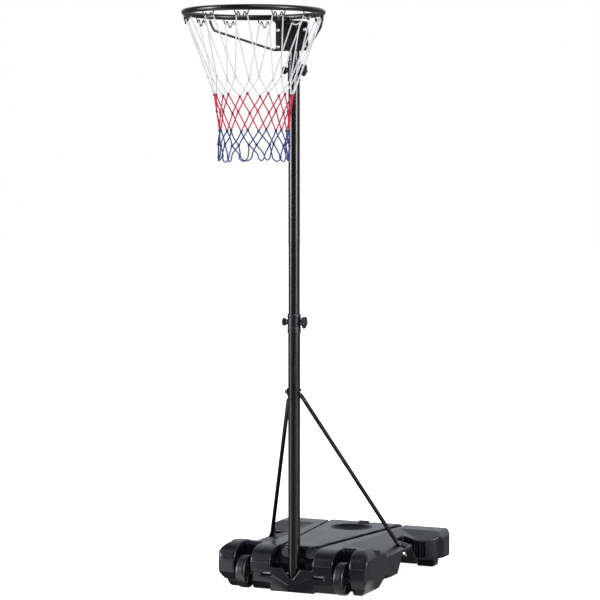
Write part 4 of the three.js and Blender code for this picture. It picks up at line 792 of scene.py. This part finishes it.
def washer(bore, radius, height):
    return turned(oblong(bore, radius, 0, height, 0.3), 40, closed=True)


def pan_bolt(radius, head, height, length, drive=2.2):
    """A pan-headed bolt, its head on the origin's plane and a drive recess in its top."""
    profile = [(0, -length), (radius - 0.6, -length), (radius, -length + 0.7)]
    thread = 1.0
    level = -length + 1.2
    while level < -length + 9 and level < -3:
        profile += [(radius, level), (radius - 0.35, level + thread / 2)]
        level += thread
    profile += [(radius, level), (radius, 0)]
    profile += fillet([
        (radius, 0), (head, 0), (head, height * 0.45), (head * 0.62, height), (drive, height),
        (drive, height * 0.45), (0, height * 0.4)], 0.8, False, 3)[1:]
    return turned(profile, 40)


# Struts from the pole to the tank's side ledges, with their bolts

STRUT_SIDE, STRUT_TOP = 20.15, 607.0
STRUT_FOOT = Vector((226.0, 333.0, 99.9))
STRUT_RADIUS, FLAT_HALF_WIDE, FLAT_HALF_THICK = 6.35, 9, 1.6
BEND_BACK, PRESSED_RUN, PRESSED_STEPS, TUBE_SPANS = 13, 26, 8, 14
FOOT_BOLT_SEAT, WING_NUT_SEAT, WING_MIDDLE = 101.8, 85.7, (8.6, -8.5)


def strut_section(centre, along, wide, flat):
    """One section of a strut: round where flat is 0, pressed to a plate where it is 1."""
    across = (wide - along * wide.dot(along)).normalized()
    through = along.cross(across)
    half_wide = STRUT_RADIUS + (FLAT_HALF_WIDE - STRUT_RADIUS) * flat
    half_thick = STRUT_RADIUS + (FLAT_HALF_THICK - STRUT_RADIUS) * flat
    power = 1 - 0.62 * flat
    ring = []
    for step in range(32):
        angle = TURN * (step + 0.5) / 32
        side, face = math.cos(angle), math.sin(angle)
        ring.append(centre + across * half_wide * math.copysign(abs(side) ** power, side)
                    + through * half_thick * math.copysign(abs(face) ** power, face))
    return ring


def strut_tongue(centre, way, wide):
    """The pressed plate past a bolt, its end drawn in to a round tongue."""
    across = (wide - way * wide.dot(way)).normalized()
    rings = []
    for back, share in ((-11, 0.35), (-10.3, 0.6), (-8.5, 0.82), (-5.5, 0.97), (-3, 1)):
        middle = centre + way * back
        rings.append([p - across * (p - middle).dot(across) * (1 - share)
                      for p in strut_section(middle, way, wide, 1)])
    return rings


def strut_rings():
    top = Vector((STRUT_SIDE, 0, STRUT_TOP))
    run = STRUT_FOOT - top
    down = Vector((0, run.y, run.z)).normalized()
    level = Vector((run.x, run.y, 0)).normalized()
    bend_top, bend_foot = top + down * BEND_BACK, STRUT_FOOT - level * BEND_BACK
    along = (bend_foot - bend_top).normalized()
    top_wide, foot_wide = Vector((0, down.z, -down.y)), Vector((level.y, -level.x, 0))
    start, end = bend_top + along * PRESSED_RUN, bend_foot - along * PRESSED_RUN
    shares = [step / PRESSED_STEPS for step in range(PRESSED_STEPS + 1)]
    rings = strut_tongue(top, down, top_wide)
    for share in shares:
        way = down.lerp(along, min(1, share * 2)).normalized()
        centre = bend_top + (along if share else down) * PRESSED_RUN * share
        rings.append(strut_section(centre, way, top_wide, 1 - eased(share)))
    for step in range(1, TUBE_SPANS):
        share = step / TUBE_SPANS
        wide = top_wide.lerp(foot_wide, share)
        rings.append(strut_section(start.lerp(end, share), along, wide, 0))
    for share in shares:
        way = along.lerp(level, max(0, share * 2 - 1)).normalized()
        rings.append(strut_section(end + along * PRESSED_RUN * share, way, foot_wide, eased(share)))
    return rings + strut_tongue(STRUT_FOOT, -level, foot_wide)[::-1]


def mirrored(shape):
    points, faces = shape
    return [Vector((-point.x, point.y, point.z)) for point in points], faces


def wing_nut():
    """A wing nut that hangs from the origin's plane: conical barrel and two rounded wings."""
    barrel = fillet([(4.3, 0), (5.8, 0), (7.3, -8), (7.3, -12), (4.3, -12)], 0.8, True, 3)
    form = Form().add(turned(barrel, 40, closed=True))
    outline = fillet([(4.9, -2.6), (6.6, -2.6), (12.2, -12.5), (12.2, -16.8), (8, -16.8),
                      (5.4, -14), (4.9, -9)], 1.6, True, 4)
    x, z = WING_MIDDLE
    layers = ((-1.5, 0.9), (-1.2, 0.98), (0, 1), (1.2, 0.98), (1.5, 0.9))
    for side in (1, -1):
        form.add(lofted([[(side * (x + (p[0] - x) * share), depth, z + (p[1] - z) * share)
                          for p in outline] for depth, share in layers]))
    return form.points, form.faces


def make_struts():
    shape = lofted(strut_rings())
    for name, side in (("strut_right", shape), ("strut_left", mirrored(shape))):
        dress(name, side, "black_steel", "base", sharp=40)
    outside = STRUT_SIDE + FLAT_HALF_THICK + SEAT
    for name, part, slot, x, way in (
            ("strut_top_bolt", pan_bolt(3, 6, 4, 52.8), "zinc_steel", outside, ALONG_X),
            ("strut_top_washer", washer(3.3, 8, 1.2), "zinc_steel", -outside, AGAINST_X),
            ("strut_top_nut", hex_nut(3.3, 6, 5.5), "black_steel", -outside - 1.5, AGAINST_X)):
        dress(name, part, slot, "base", moved(0, 0, STRUT_TOP) @ moved(x, 0, 0) @ way)
    for side, sign in (("left", -1), ("right", 1)):
        x, y = sign * STRUT_FOOT.x, STRUT_FOOT.y
        dress("strut_foot_bolt_" + side, pan_bolt(4, 8, 4, 27.1, 3), "black_steel", "base",
              moved(x, y, FOOT_BOLT_SEAT))
        dress("strut_wing_nut_" + side, wing_nut(), "zinc_steel", "base",
              moved(x, y, WING_NUT_SEAT), 45)


# Wheels on their axle

WHEEL_X, AXLE_Z, WHEEL_HALF, AXLE_HALF, SPOKES = 160.5, 51.0, 15.0, 229.0, 6


def make_wheels():
    hub = [(4.8, -26.1), (11.4, -26.1), (12.4, -20), (12.6, -5), (38.5, -4), (41.2, -9)]
    tread = [(42.5, -WHEEL_HALF), (46.8, -WHEEL_HALF), (49.3, -12.4), (50, -6), (49.8, -0.9)]
    half = hub + tread
    other = [(radius, -x) for radius, x in reversed(half)]
    tyre = turned(fillet(half + [(50, 0)] + other, 1.5, True, 3), 96, closed=True)
    for side, sign in (("left", -1), ("right", 1)):
        name, x = "wheel_" + side, sign * WHEEL_X
        dress(name, tyre, "wheel_plastic", name, moved(x, 0, AXLE_Z) @ ALONG_X)
        spoke = Form().add(rounded_box((12.6, 14.9, 1.9), 0.9, 3), moved(0, 26.2, 0))
        show_grown(name + "_spokes", spoke.mesh("spoke"), REPEAT_AROUND, "wheel_plastic", name,
                   count=SPOKES, centre=(x * MM, 0, AXLE_Z * MM), axis=(1, 0, 0))
    end = AXLE_HALF
    profile = fillet([(0, -end), (3.6, -end), (4.5, -end + 1), (4.5, end - 1), (3.6, end), (0, end)],
                     0.4, False, 2)
    dress("wheel_axle", turned(profile, 40), "zinc_steel", "base", moved(0, 0, AXLE_Z) @ ALONG_X)


# Filler caps and drain plug

CAP_X, CAP_Y, CAP_Z, CAP_FACE, CAP_RIM, CAP_SPACES = 40, 50.5, 110, 17.8, 18.2, 5
PLUG_Y, PLUG_SEAT = 571, 122.2


def filler_cap(side, sign):
    """A screwed filler cap: fluted rim, sunk face with crossing bars, and its neck."""
    name = "filler_cap_" + side
    place = moved(sign * CAP_X, CAP_Y, CAP_Z) @ Matrix.Rotation(math.pi / 4, 4, "X")
    profile = fillet([
        (0, -9), (13, -9), (14, -8), (14, 0.6), (21, 0.6), (22.5, 1.6), (22.5, 4), (21.3, 5.3),
        (18.4, 5.3), (17.6, 3.2), (0, 3.2)], 0.7, False, 3)
    form = Form().add(turned(profile, 168, swell=lobes(28, 1.1, 18.5, 21.5)), place)
    for index in range(1, CAP_SPACES):
        x = -CAP_FACE + index * (2 * CAP_FACE / CAP_SPACES)
        bar = rounded_box((0.9, math.sqrt(CAP_RIM ** 2 - x ** 2), 1.1), 0.4, 2)
        form.add(bar, place @ moved(x, 0, 3.4))
        form.add(bar, place @ Matrix.Rotation(math.pi / 2, 4, "Z") @ moved(x, 0, 3.4))
    show(name, form.mesh(name), "moulded_plastic", name, name, finish="cap_plastic")


def drain_plug():
    head = PLUG_SEAT
    profile = fillet([
        (0, head - 12), (11, head - 12), (12, head - 11), (12, head), (18.4, head),
        (19, head + 3.6), (16.6, head + 6), (0, head + 6.3)], 0.9, False, 3)
    place = moved(0, PLUG_Y, 0)
    form = Form().add(turned(profile, 120, swell=lobes(20, 0.8, 15, 18)), place)
    form.add(rounded_box((16.8, 3, 3), 1.4, 4), place @ moved(0, 0, head + 5.4))
    show("drain_plug", form.mesh("drain_plug"), "moulded_plastic", "drain_plug", "drain_plug")


# The ring with its hooks, bracket, clamp and braces

RING_Z, RING_Y, RING_RADIUS, RING_ROD = 1722.0, -290.0, 198.0, 8.0
HOOKS, HOOK_HALF, HOOK_WELD, HOOK_DIP, HOOK_WIRE = 12, 20.0, 6.25, 30.0, 1.75
PLATE_LOW, PLATE_HALF, STRAP_TOP, STRAP_RADIUS, BRACE_ROD = 1628, 52, 1704, 17.85, 3.5

# Half of a hook's wire: shares of its half width and of its dip under the weld
HALF_HOOK = ((-1, -0.1), (-0.95, 0.2), (-0.83, 0.52), (-0.75, 0.6), (-0.65, 0.5), (-0.5, 0.25),
             (-0.33, 0.42), (-0.17, 0.85))
HOOK_PATH = HALF_HOOK + ((0, 1),) + tuple((-side, down) for side, down in reversed(HALF_HOOK))
CORD_SEAT = (0.75 * HOOK_HALF, HOOK_WELD + 0.6 * (HOOK_DIP - HOOK_WELD))


def make_ring():
    section = [around(RING_ROD, TURN * k / 28) for k in range(28)]
    rod_profile = [(RING_RADIUS + x, z) for x, z in section]
    dress("ring", turned(rod_profile, 192, closed=True), "black_steel", "top_section",
          moved(0, RING_Y, RING_Z), 60)
    path = smooth_path([(HOOK_HALF * side, RING_RADIUS, -HOOK_WELD - (HOOK_DIP - HOOK_WELD) * down)
                        for side, down in HOOK_PATH], 1.2)
    hook = Form().add(rod(path, HOOK_WIRE, 10))
    show_grown("net_hooks", hook.mesh("net_hook", 60), REPEAT_AROUND, "black_steel", "top_section",
               count=HOOKS, centre=(0, RING_Y * MM, RING_Z * MM), first_turn=TURN / (2 * HOOKS))


def plate_section(centre, normal, half_wide):
    """A rounded flat section across X at a station of a folded plate."""
    corners = held(oblong(-half_wide, half_wide, -1.75, 1.75, 0.9), True)
    return [Vector((u, centre[0] + normal[0] * v, centre[1] + normal[1] * v)) for u, v in corners]


def make_bracket():
    """Plate on the pole's front whose top is bent forward into a flange under the ring."""
    middle, bend_z, bend_y, bend, flange_z, flange_end = -18.1, 1707.7, -22.35, 4.25, 1711.95, -106
    flange_half = PLATE_HALF - 0.8
    stations = []
    for rise in (0, 0.4, 1.2, 2.4, 4, 6, 40, 75):
        inset = 6 - math.sqrt(max(0, 36 - (6 - min(rise, 6)) ** 2))
        stations.append(((middle, PLATE_LOW + rise), (-1, 0), PLATE_HALF - inset))
    for step in range(7):
        y, z = around(1, math.pi / 2 * step / 6)
        half = PLATE_HALF - 0.8 * step / 6
        stations.append(((bend_y + bend * y, bend_z + bend * z), (-y, -z), half))
    for step in range(1, 11):
        y = bend_y + (flange_end - bend_y) * step / 10
        stations.append(((y, flange_z), (0, -1), flange_half - 28.7 * step / 10))
    dress("ring_bracket", lofted([plate_section(*station) for station in stations]), "black_steel",
          "top_section")


def make_pole_clamp():
    """Strap that wraps the pole's back and meets the plate on both sides."""
    right = fillet([(PLATE_HALF, -14.55), (24, -14.55), (18.6, -13.2), (STRAP_RADIUS, -8)], 3.5)
    back = [around(STRAP_RADIUS, math.pi * k / 24) for k in range(25)]
    left = [(-x, y) for x, y in reversed(right)]
    path = [Vector((x, y, 0)) for x, y in [*right, *back, *left]]
    section = held(oblong(-1.5, 1.5, PLATE_LOW, STRAP_TOP, 0.8), True)
    rings = []
    for index, here in enumerate(path):
        ahead = (path[min(index + 1, len(path) - 1)] - path[max(index - 1, 0)]).normalized()
        normal = Vector((ahead.y, -ahead.x, 0))
        rings.append([here + normal * u + Vector((0, 0, v)) for u, v in section])
    dress("pole_clamp", lofted(rings), "black_steel", "top_section")


def make_braces():
    turn = math.radians(65)
    end = Vector((RING_RADIUS * math.sin(turn), RING_Y + RING_RADIUS * math.cos(turn),
                  RING_Z - RING_ROD - BRACE_ROD * math.sqrt(0.5)))
    front = -TOP_RADIUS - SEAT - BRACE_ROD - SEAT - BRACE_ROD
    bend = Vector((170, -200, 1681))
    leave = Vector((54, front - SEAT, 1631))
    inward, upward = (leave - bend).normalized(), (end - bend).normalized()
    stops = [Vector((34, front, 1631)), Vector((47, front, 1631)), leave + inward * -7,
             bend.lerp(leave, 0.5), bend + inward * 16, bend + (inward + upward) * 3.2,
             bend + upward * 14, end]
    shape = rod(smooth_path(stops, 5), BRACE_ROD, 20)
    for name, side in (("brace_right", shape), ("brace_left", mirrored(shape))):
        dress(name, side, "black_steel", "top_section", sharp=50)
    return end


def make_bracket_bolts():
    bolt, nut = Form(), Form()
    for index in range(1, 5):
        low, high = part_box("bracket_bolt_%d" % index)
        x, z = (low.x + high.x) / 2 / MM, (low.z + high.z) / 2 / MM
        bolt.add(pan_bolt(3, 5.6, 3.6, 14.4), moved(x, -20.15, z) @ AGAINST_Y)
        nut.add(hex_nut(3.3, 5.5, 5), moved(x, -12.75, z) @ AGAINST_Y.inverted())
    for kind, form in (("bolt", bolt), ("nut", nut)):
        name = "bracket_%ss" % kind
        show(name, form.mesh(name), "zinc_steel", "top_section",
             *["bracket_%s_%d" % (kind, index) for index in range(1, 5)])


def bead_line(name, points, drop, seed):
    """A line of weld drops along the given points, in millimetres."""
    line = bpy.data.meshes.new(name + "_line")
    line.from_pydata([Vector(point) * MM for point in points],
                     [(k, k + 1) for k in range(len(points) - 1)], [])
    show_grown(name, line, WELD_BEAD, "black_steel", "top_section",
               drop_radius=drop * MM, seed=seed)


def make_welds(tip):
    """Weld beads of the ring on its flange, and of each brace at its foot and its tip."""
    for row, radius in enumerate((RING_RADIUS - 8.6, RING_RADIUS + 7.4)):
        level = RING_Z - RING_ROD + 0.2 - row * 0.4
        arc = [(x, RING_Y + y, level)
               for y, x in (around(radius, math.radians(a)) for a in range(-6, 7, 2))]
        bead_line("ring_weld_%d" % (row + 1), arc, 2.0, 3 + row)
    for name, sign in (("right", 1), ("left", -1)):
        bead_line("brace_foot_weld_" + name, [(sign * x, -21.2, 1634.6) for x in (35, 50)], 1.7, 5)
        bead_line("brace_ring_weld_" + name, [
            (sign * (tip.x + x), tip.y + y, tip.z + z)
            for x, y, z in ((-5, 4, 3.2), (-4, -4, 3.2), (3, -5, 2.6))], 1.8, 6)


# The net: braided cords in three colours, tied in diamonds and hung on the hooks

CORD, CORD_SIDES, LAY_PITCH = 2.0, 12, 13.0
LOOP_RADIUS, LOOP_SHOULDER, LOOP_DROP = 102, 402, 426


def net_point(turn, radius, drop, shift=0.0):
    return Vector((radius * math.sin(turn) + shift * math.cos(turn),
                   RING_Y + radius * math.cos(turn) - shift * math.sin(turn), RING_Z - drop))


def cord_strand(form, points):
    """One cord through the points, slightly three-lobed, with lobes that wind along it."""
    path = smooth_path(points, 2.2)
    walked, before = 0.0, path[0]
    rings, lay = [], []
    for here, across, other in frames_along(path):
        walked += (here - before).length
        before = here
        ring = []
        for step in range(CORD_SIDES):
            angle = TURN * step / CORD_SIDES
            wind = TURN * walked / LAY_PITCH
            size = CORD * (0.93 + 0.09 * math.cos(3 * (angle - wind)))
            ring.append(here + (across * math.cos(angle) + other * math.sin(angle)) * size)
            lay.append((math.cos(angle), math.sin(angle), walked * MM))
        rings.append(ring)
    form.add(lofted(rings), lay=lay)


def loose(point, index, amount):
    """A point moved a little, always by the same share for the same index."""
    x, y, z = (math.sin(pace * index + start) for pace, start in ((12.9, 0), (7.3, 1), (4.7, 2)))
    return point + Vector((x, y, 0.6 * z)) * amount * 0.5


def sagging(start, end, sag, outward=0.0):
    """A cord between two knots: straight, but for a little sag or bow."""
    points = [start]
    for share in (0.25, 0.5, 0.75):
        point = start.lerp(end, share)
        out = Vector((point.x, point.y - RING_Y, 0)).normalized()
        bow = 4 * share * (1 - share)
        points.append(point + out * outward * bow - Vector((0, 0, sag * bow)))
    return points + [end]


def make_net():
    pitch = math.pi / HOOKS
    knot = 2 * math.sqrt(2) * 3.6 + SEAT
    inside = RING_RADIUS - 1.6 - CORD
    seat_side, seat_drop = CORD_SEAT
    lashing = ((-1, 0, -2), (-0.5, 1, 2), (0, 1, 3), (0.5, 1, 2), (1, 0, -2))
    white, red, blue = Form(), Form(), Form()

    def row(phase, radius, drop, amount, tag):
        return [loose(net_point((2 * i + phase) * pitch, radius, drop), i + tag, amount)
                for i in range(HOOKS)]

    first = row(0, 130, 186, 5, 1)
    white_end = row(1, 114, 229 + knot / 2, 3, 20)
    red_mid = row(0, 105, 283, 4, 40)
    red_end = row(1, 99, 331 + knot / 2, 4, 60)
    blue_mid = row(0, 99, 377, 9, 80)
    for i in range(HOOKS):
        turn = (2 * i + 1) * pitch
        left, right = first[i], first[(i + 1) % HOOKS]
        seats = [net_point(turn, inside - inward, seat_drop + dip, side * seat_side)
                 for side, inward, dip in lashing]
        rise = [seats[0].lerp(left, share) for share in (0.66, 0.33, 0.06)]
        fall = [seats[-1].lerp(right, share) for share in (0.06, 0.33, 0.66)]
        cord_strand(white, [left] + rise + seats + fall + [right])
        for j in (i, i - 1):
            cord_strand(white, sagging(first[i], white_end[j], 1.5))
            cord_strand(red, sagging(white_end[j], red_mid[i], 0.8))
        for number, j in enumerate((i, i - 1)):
            cord_strand(red, sagging(red_mid[i], red_end[j], 0.8))
            cord_strand(blue, sagging(red_end[j], blue_mid[i], 1.5, 5 * math.sin(2.3 * i + number)))
        lowest = LOOP_DROP - 5 * (0.5 + 0.5 * math.sin(1.9 * i))
        wide = 11 + 4 * math.sin(2.7 * i + 1)
        lean = 6 * math.sin(1.3 * i + 0.5)
        swell = LOOP_RADIUS + 5 * math.sin(3.1 * i)
        loop = [net_point(turn, swell + out, drop, side + lean) for out, drop, side in (
            (-2, LOOP_SHOULDER, -wide - 3), (0, lowest - 8, -wide), (1, lowest, 0),
            (0, lowest - 8, wide), (-2, LOOP_SHOULDER, wide + 3))]
        cord_strand(blue, [blue_mid[i]] + loop + [blue_mid[(i + 1) % HOOKS]])
    for seed, (colour, form, rows) in enumerate((
            ("white", white, [first]), ("red", red, [red_mid, white_end]),
            ("blue", blue, [blue_mid, red_end]))):
        name, slot = "net_" + colour, colour + "_cord"
        show(name, form.mesh(name, 60, weld=False), slot, "top_section", name)
        places = bpy.data.meshes.new(name + "_places")
        places.from_pydata([point * MM for tied in zip(*rows) for point in tied], [], [])
        show_grown(name + "_knots", places, TIED_KNOTS, slot, "top_section",
                   knot_radius=0.0026, cord_radius=0.0019, seed=seed)


# The ballast tank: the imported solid, softened into one blow-moulded skin

DECK_FRONT, DECK_REAR = (71.5, 131.0), (606.0, 121.0)
GROOVE_START, GROOVE_HALF, GROOVE_SPREAD, GROOVE_EDGE = 27, 50, 74, 1.5
WEDGE_START, WEDGE_END, WEDGE_RISE, WEDGE_DEPTH = 90, 600, 3.2, 30
LUG_BEAD, LUG_SHOULDER = 1.7, 87
LUG_INSIDE, LUG_REAR, FALL_FRONT, FALL_FOOT = 0.186, 0.175, 0.11, 0.08
SKIN_WELD, SKIN_STEP, SKIN_KEPT, SKIN_PASSES = 1e-5, 0.002, 0.3, 5


def deck_height(y):
    share = (y - DECK_FRONT[0]) / (DECK_REAR[0] - DECK_FRONT[0])
    return DECK_FRONT[1] + (DECK_REAR[1] - DECK_FRONT[1]) * share


def raise_wedge(skin):
    """The wedge between the two grooves stands a little proud of the deck beside it."""
    for vertex in skin.vertices:
        x, y, z = vertex.co / MM
        along = (y - GROOVE_START) / (DECK_REAR[0] - GROOVE_START)
        half = GROOVE_HALF + GROOVE_SPREAD * along + GROOVE_EDGE
        plug = math.hypot(x, y - PLUG_Y)
        low = deck_height(y) - WEDGE_DEPTH
        if y > WEDGE_START and abs(x) < half and z > low:
            side = min(1, (half - abs(x)) / GROOVE_EDGE)
            front, rear = min(1, (y - WEDGE_START) / 40), min(1, max(0, WEDGE_END - y) / 14)
            ends = front * rear * min(1, max(0, plug - 24) / 12)
            lift = min(1, max(0, z - low) / 6)
            vertex.co.z += WEDGE_RISE * MM * side * ends * lift


def ease_fenders(skin):
    """Rounds the outer lugs off, and the place where each one's fall runs out on the deck."""
    work = bmesh.new()
    work.from_mesh(skin)
    lugs = [vertex for vertex in work.verts
            if abs(vertex.co.x) > LUG_INSIDE and vertex.co.y < LUG_REAR]
    falls = [vertex for vertex in lugs if vertex.co.y > FALL_FRONT and vertex.co.z > FALL_FOOT]
    for group, passes in ((lugs, 10), (falls, 25)):
        for _ in range(passes):
            bmesh.ops.smooth_vert(work, verts=group, factor=0.5,
                                  use_axis_x=True, use_axis_y=True, use_axis_z=True)
    work.to_mesh(skin)
    work.free()


def make_tank():
    merged = bmesh.new()
    merged.from_mesh(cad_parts["base_tank"].data)
    bmesh.ops.remove_doubles(merged, verts=merged.verts, dist=SKIN_WELD)
    rough = bpy.data.meshes.new("tank_rough")
    merged.to_mesh(rough)
    merged.free()
    worked = placed("tank_rough", rough)
    remesh = worked.modifiers.new("one_skin", "REMESH")
    remesh.mode, remesh.voxel_size = "VOXEL", SKIN_STEP
    soften = worked.modifiers.new("soft_edges", "SMOOTH")
    soften.factor, soften.iterations = 0.5, SKIN_PASSES
    worked.modifiers.new("fewer_faces", "DECIMATE").ratio = SKIN_KEPT
    skin = evaluated(worked, "base_tank")
    raise_wedge(skin)
    ease_fenders(skin)
    for face in skin.polygons:
        face.use_smooth = True
    show("base_tank_skin", skin, "tank_plastic", "base", "base_tank")
    beads = Form()
    for side in (1, -1):
        inner = [(x, -25.0) for x in (74, 76, 90, 110, 128, 131)]
        turn = [(229 + 16 * math.sin(a), -8.6 - 16 * math.cos(a))
                for a in (math.radians(d) for d in range(0, 91, 10))]
        outer = [(x, -24.8) for x in (190, 192, 205, 220)] + turn + [(245.2, 6)]
        for run in (inner, outer):
            beads.add(rod([Vector((side * x, y, LUG_SHOULDER)) for x, y in run], LUG_BEAD, 12))
    show("lug_shoulder_beads", beads.mesh("lug_shoulder_beads"), "tank_plastic", "base")


# Studio: white surround, pale floor and soft lamps

LEFT, RIGHT, FRONT = (-0.806, -0.592, 0), (0.977, -0.21, 0), (0.707, -0.707, 0)
DIM, RIGHT_GLOW, FLOOR_GLOW, FLOOR_WHITE = 0.08, 0.6, 0.12, 0.92
FLOOR_HALF, FLOOR_LEVEL = 30, -0.0005


def glow(tree, way, backdrop, left=1.9, rim=0.6, front=0.0):
    """Brightness that gloss shows: backdrop behind, soft panels at the sides and in front."""
    flat = tree.vector_math("NORMALIZE", tree.vector_math("MULTIPLY", way, FLAT))
    behind = tree.times(tree.range(tree.parts(flat)[1], 0.1, 0.75), backdrop)
    bright = tree.math("MAXIMUM", behind, DIM)
    for facing, start, full, strength in (
            (LEFT, 0.945, 0.975, left), (RIGHT, 0.72, 0.86, RIGHT_GLOW),
            (RIGHT, 0.96, 0.985, rim), (FRONT, 0.87, 0.94, front)):
        near = tree.vector_math("DOT_PRODUCT", flat, facing, "Value")
        bright = tree.math("MAXIMUM", tree.times(tree.range(near, start, full), strength), bright)
    return bright


def make_walls():
    """The world: white where it is seen, soft as light, and banded where gloss shows it."""
    world = bpy.data.worlds.new("studio")
    bpy.context.scene.world = world
    world.use_nodes = True
    tree = Tree(world.node_tree)
    world.node_tree.nodes.clear()
    seen, rays = tree.seen()
    way = tree.node("ShaderNodeTexCoord").outputs["Generated"]
    height = tree.parts(way)[2]
    band = tree.times(tree.range(height, 0.38, 0.47, 0.0, 6.0),
                      tree.range(height, 0.62, 0.72, 1.0, 0.0))
    low = tree.range(height, 0.25, 0.4, 1.0, 0.15)
    wall = glow(tree, way, tree.range(height, 0.02, 0.14, 0.12, 0.75),
                tree.times(tree.range(height, -0.05, 0.0, 1.9, 12.0), low),
                tree.times(tree.range(height, -0.03, 0.012, 0.6, 15.0), low), band)
    wall = tree.times(wall, tree.range(height, 0.7, 0.93, 1.0, 0.08))
    soft, mirror, white = (
        tree.node("ShaderNodeBackground", {"Color": colour, "Strength": strength})
        for colour, strength in (
            ((0.93, 0.95, 1.0, 1), 0.9), ((0.86, 0.89, 1, 1), wall), ((1, 1, 1, 1), 1.0)))
    lit = tree.node("ShaderNodeMixShader", {0: rays["Is Glossy Ray"], 1: soft, 2: mirror})
    both = tree.node("ShaderNodeMixShader", {0: seen, 1: lit, 2: white})
    tree.node("ShaderNodeOutputWorld", {0: both})


def make_floor():
    mesh = bpy.data.meshes.new("studio_floor")
    mesh.from_pydata([(x * FLOOR_HALF, y * FLOOR_HALF, FLOOR_LEVEL)
                      for x, y in ((-1, -1), (1, -1), (1, 1), (-1, 1))], [], [(0, 1, 2, 3)])
    floor = placed("studio_floor", mesh)
    made, tree, shader = finish_material("studio_floor", 0.9, specular=0.0)
    shader["Emission Color"].default_value = (1, 1, 1, 1)
    seen, rays = tree.seen()
    pale = tree.mix(rays["Is Glossy Ray"], (0.7, 0.7, 0.7, 1), (0.12, 0.12, 0.12, 1))
    tree.join(pale, shader["Base Color"])
    far = tree.times(rays["Is Glossy Ray"], glow(tree, tree.place(), FLOOR_GLOW))
    tree.join(tree.times(tree.math("MAXIMUM", seen, far), FLOOR_WHITE), shader["Emission Strength"])
    mesh.materials.append(made)


def make_lamps():
    for name, place, aim, size, power in (
            ("key", (-3.66, -3.7, 2.0), (0, 0, 1.3), (0.6, 2.0), 80),
            ("fill", (4.7, -1.68, 2.0), (0, 0, 1.2), (0.5, 2.0), 45),
            ("top", (-0.6, 0.3, 4.4), (0, 0.1, 0), (2.4, 2.4), 70)):
        lamp = bpy.data.lights.new(name, "AREA")
        lamp.shape, lamp.size, lamp.size_y, lamp.energy = "RECTANGLE", size[0], size[1], power
        stand = placed(name, lamp)
        stand.location = place
        stand.visible_glossy = name != "top"
        stand.rotation_euler = (Vector(aim) - Vector(place)).to_track_quat("-Z", "Y").to_euler()


aim_camera()
make_walls()
make_floor()
make_lamps()
make_tank()
make_pole()
make_struts()
make_wheels()
filler_cap("left", -1)
filler_cap("right", 1)
drain_plug()
make_ring()
make_bracket()
make_pole_clamp()
make_welds(make_braces())
make_bracket_bolts()
make_net()

bpy.context.scene.view_settings.view_transform = "Standard"
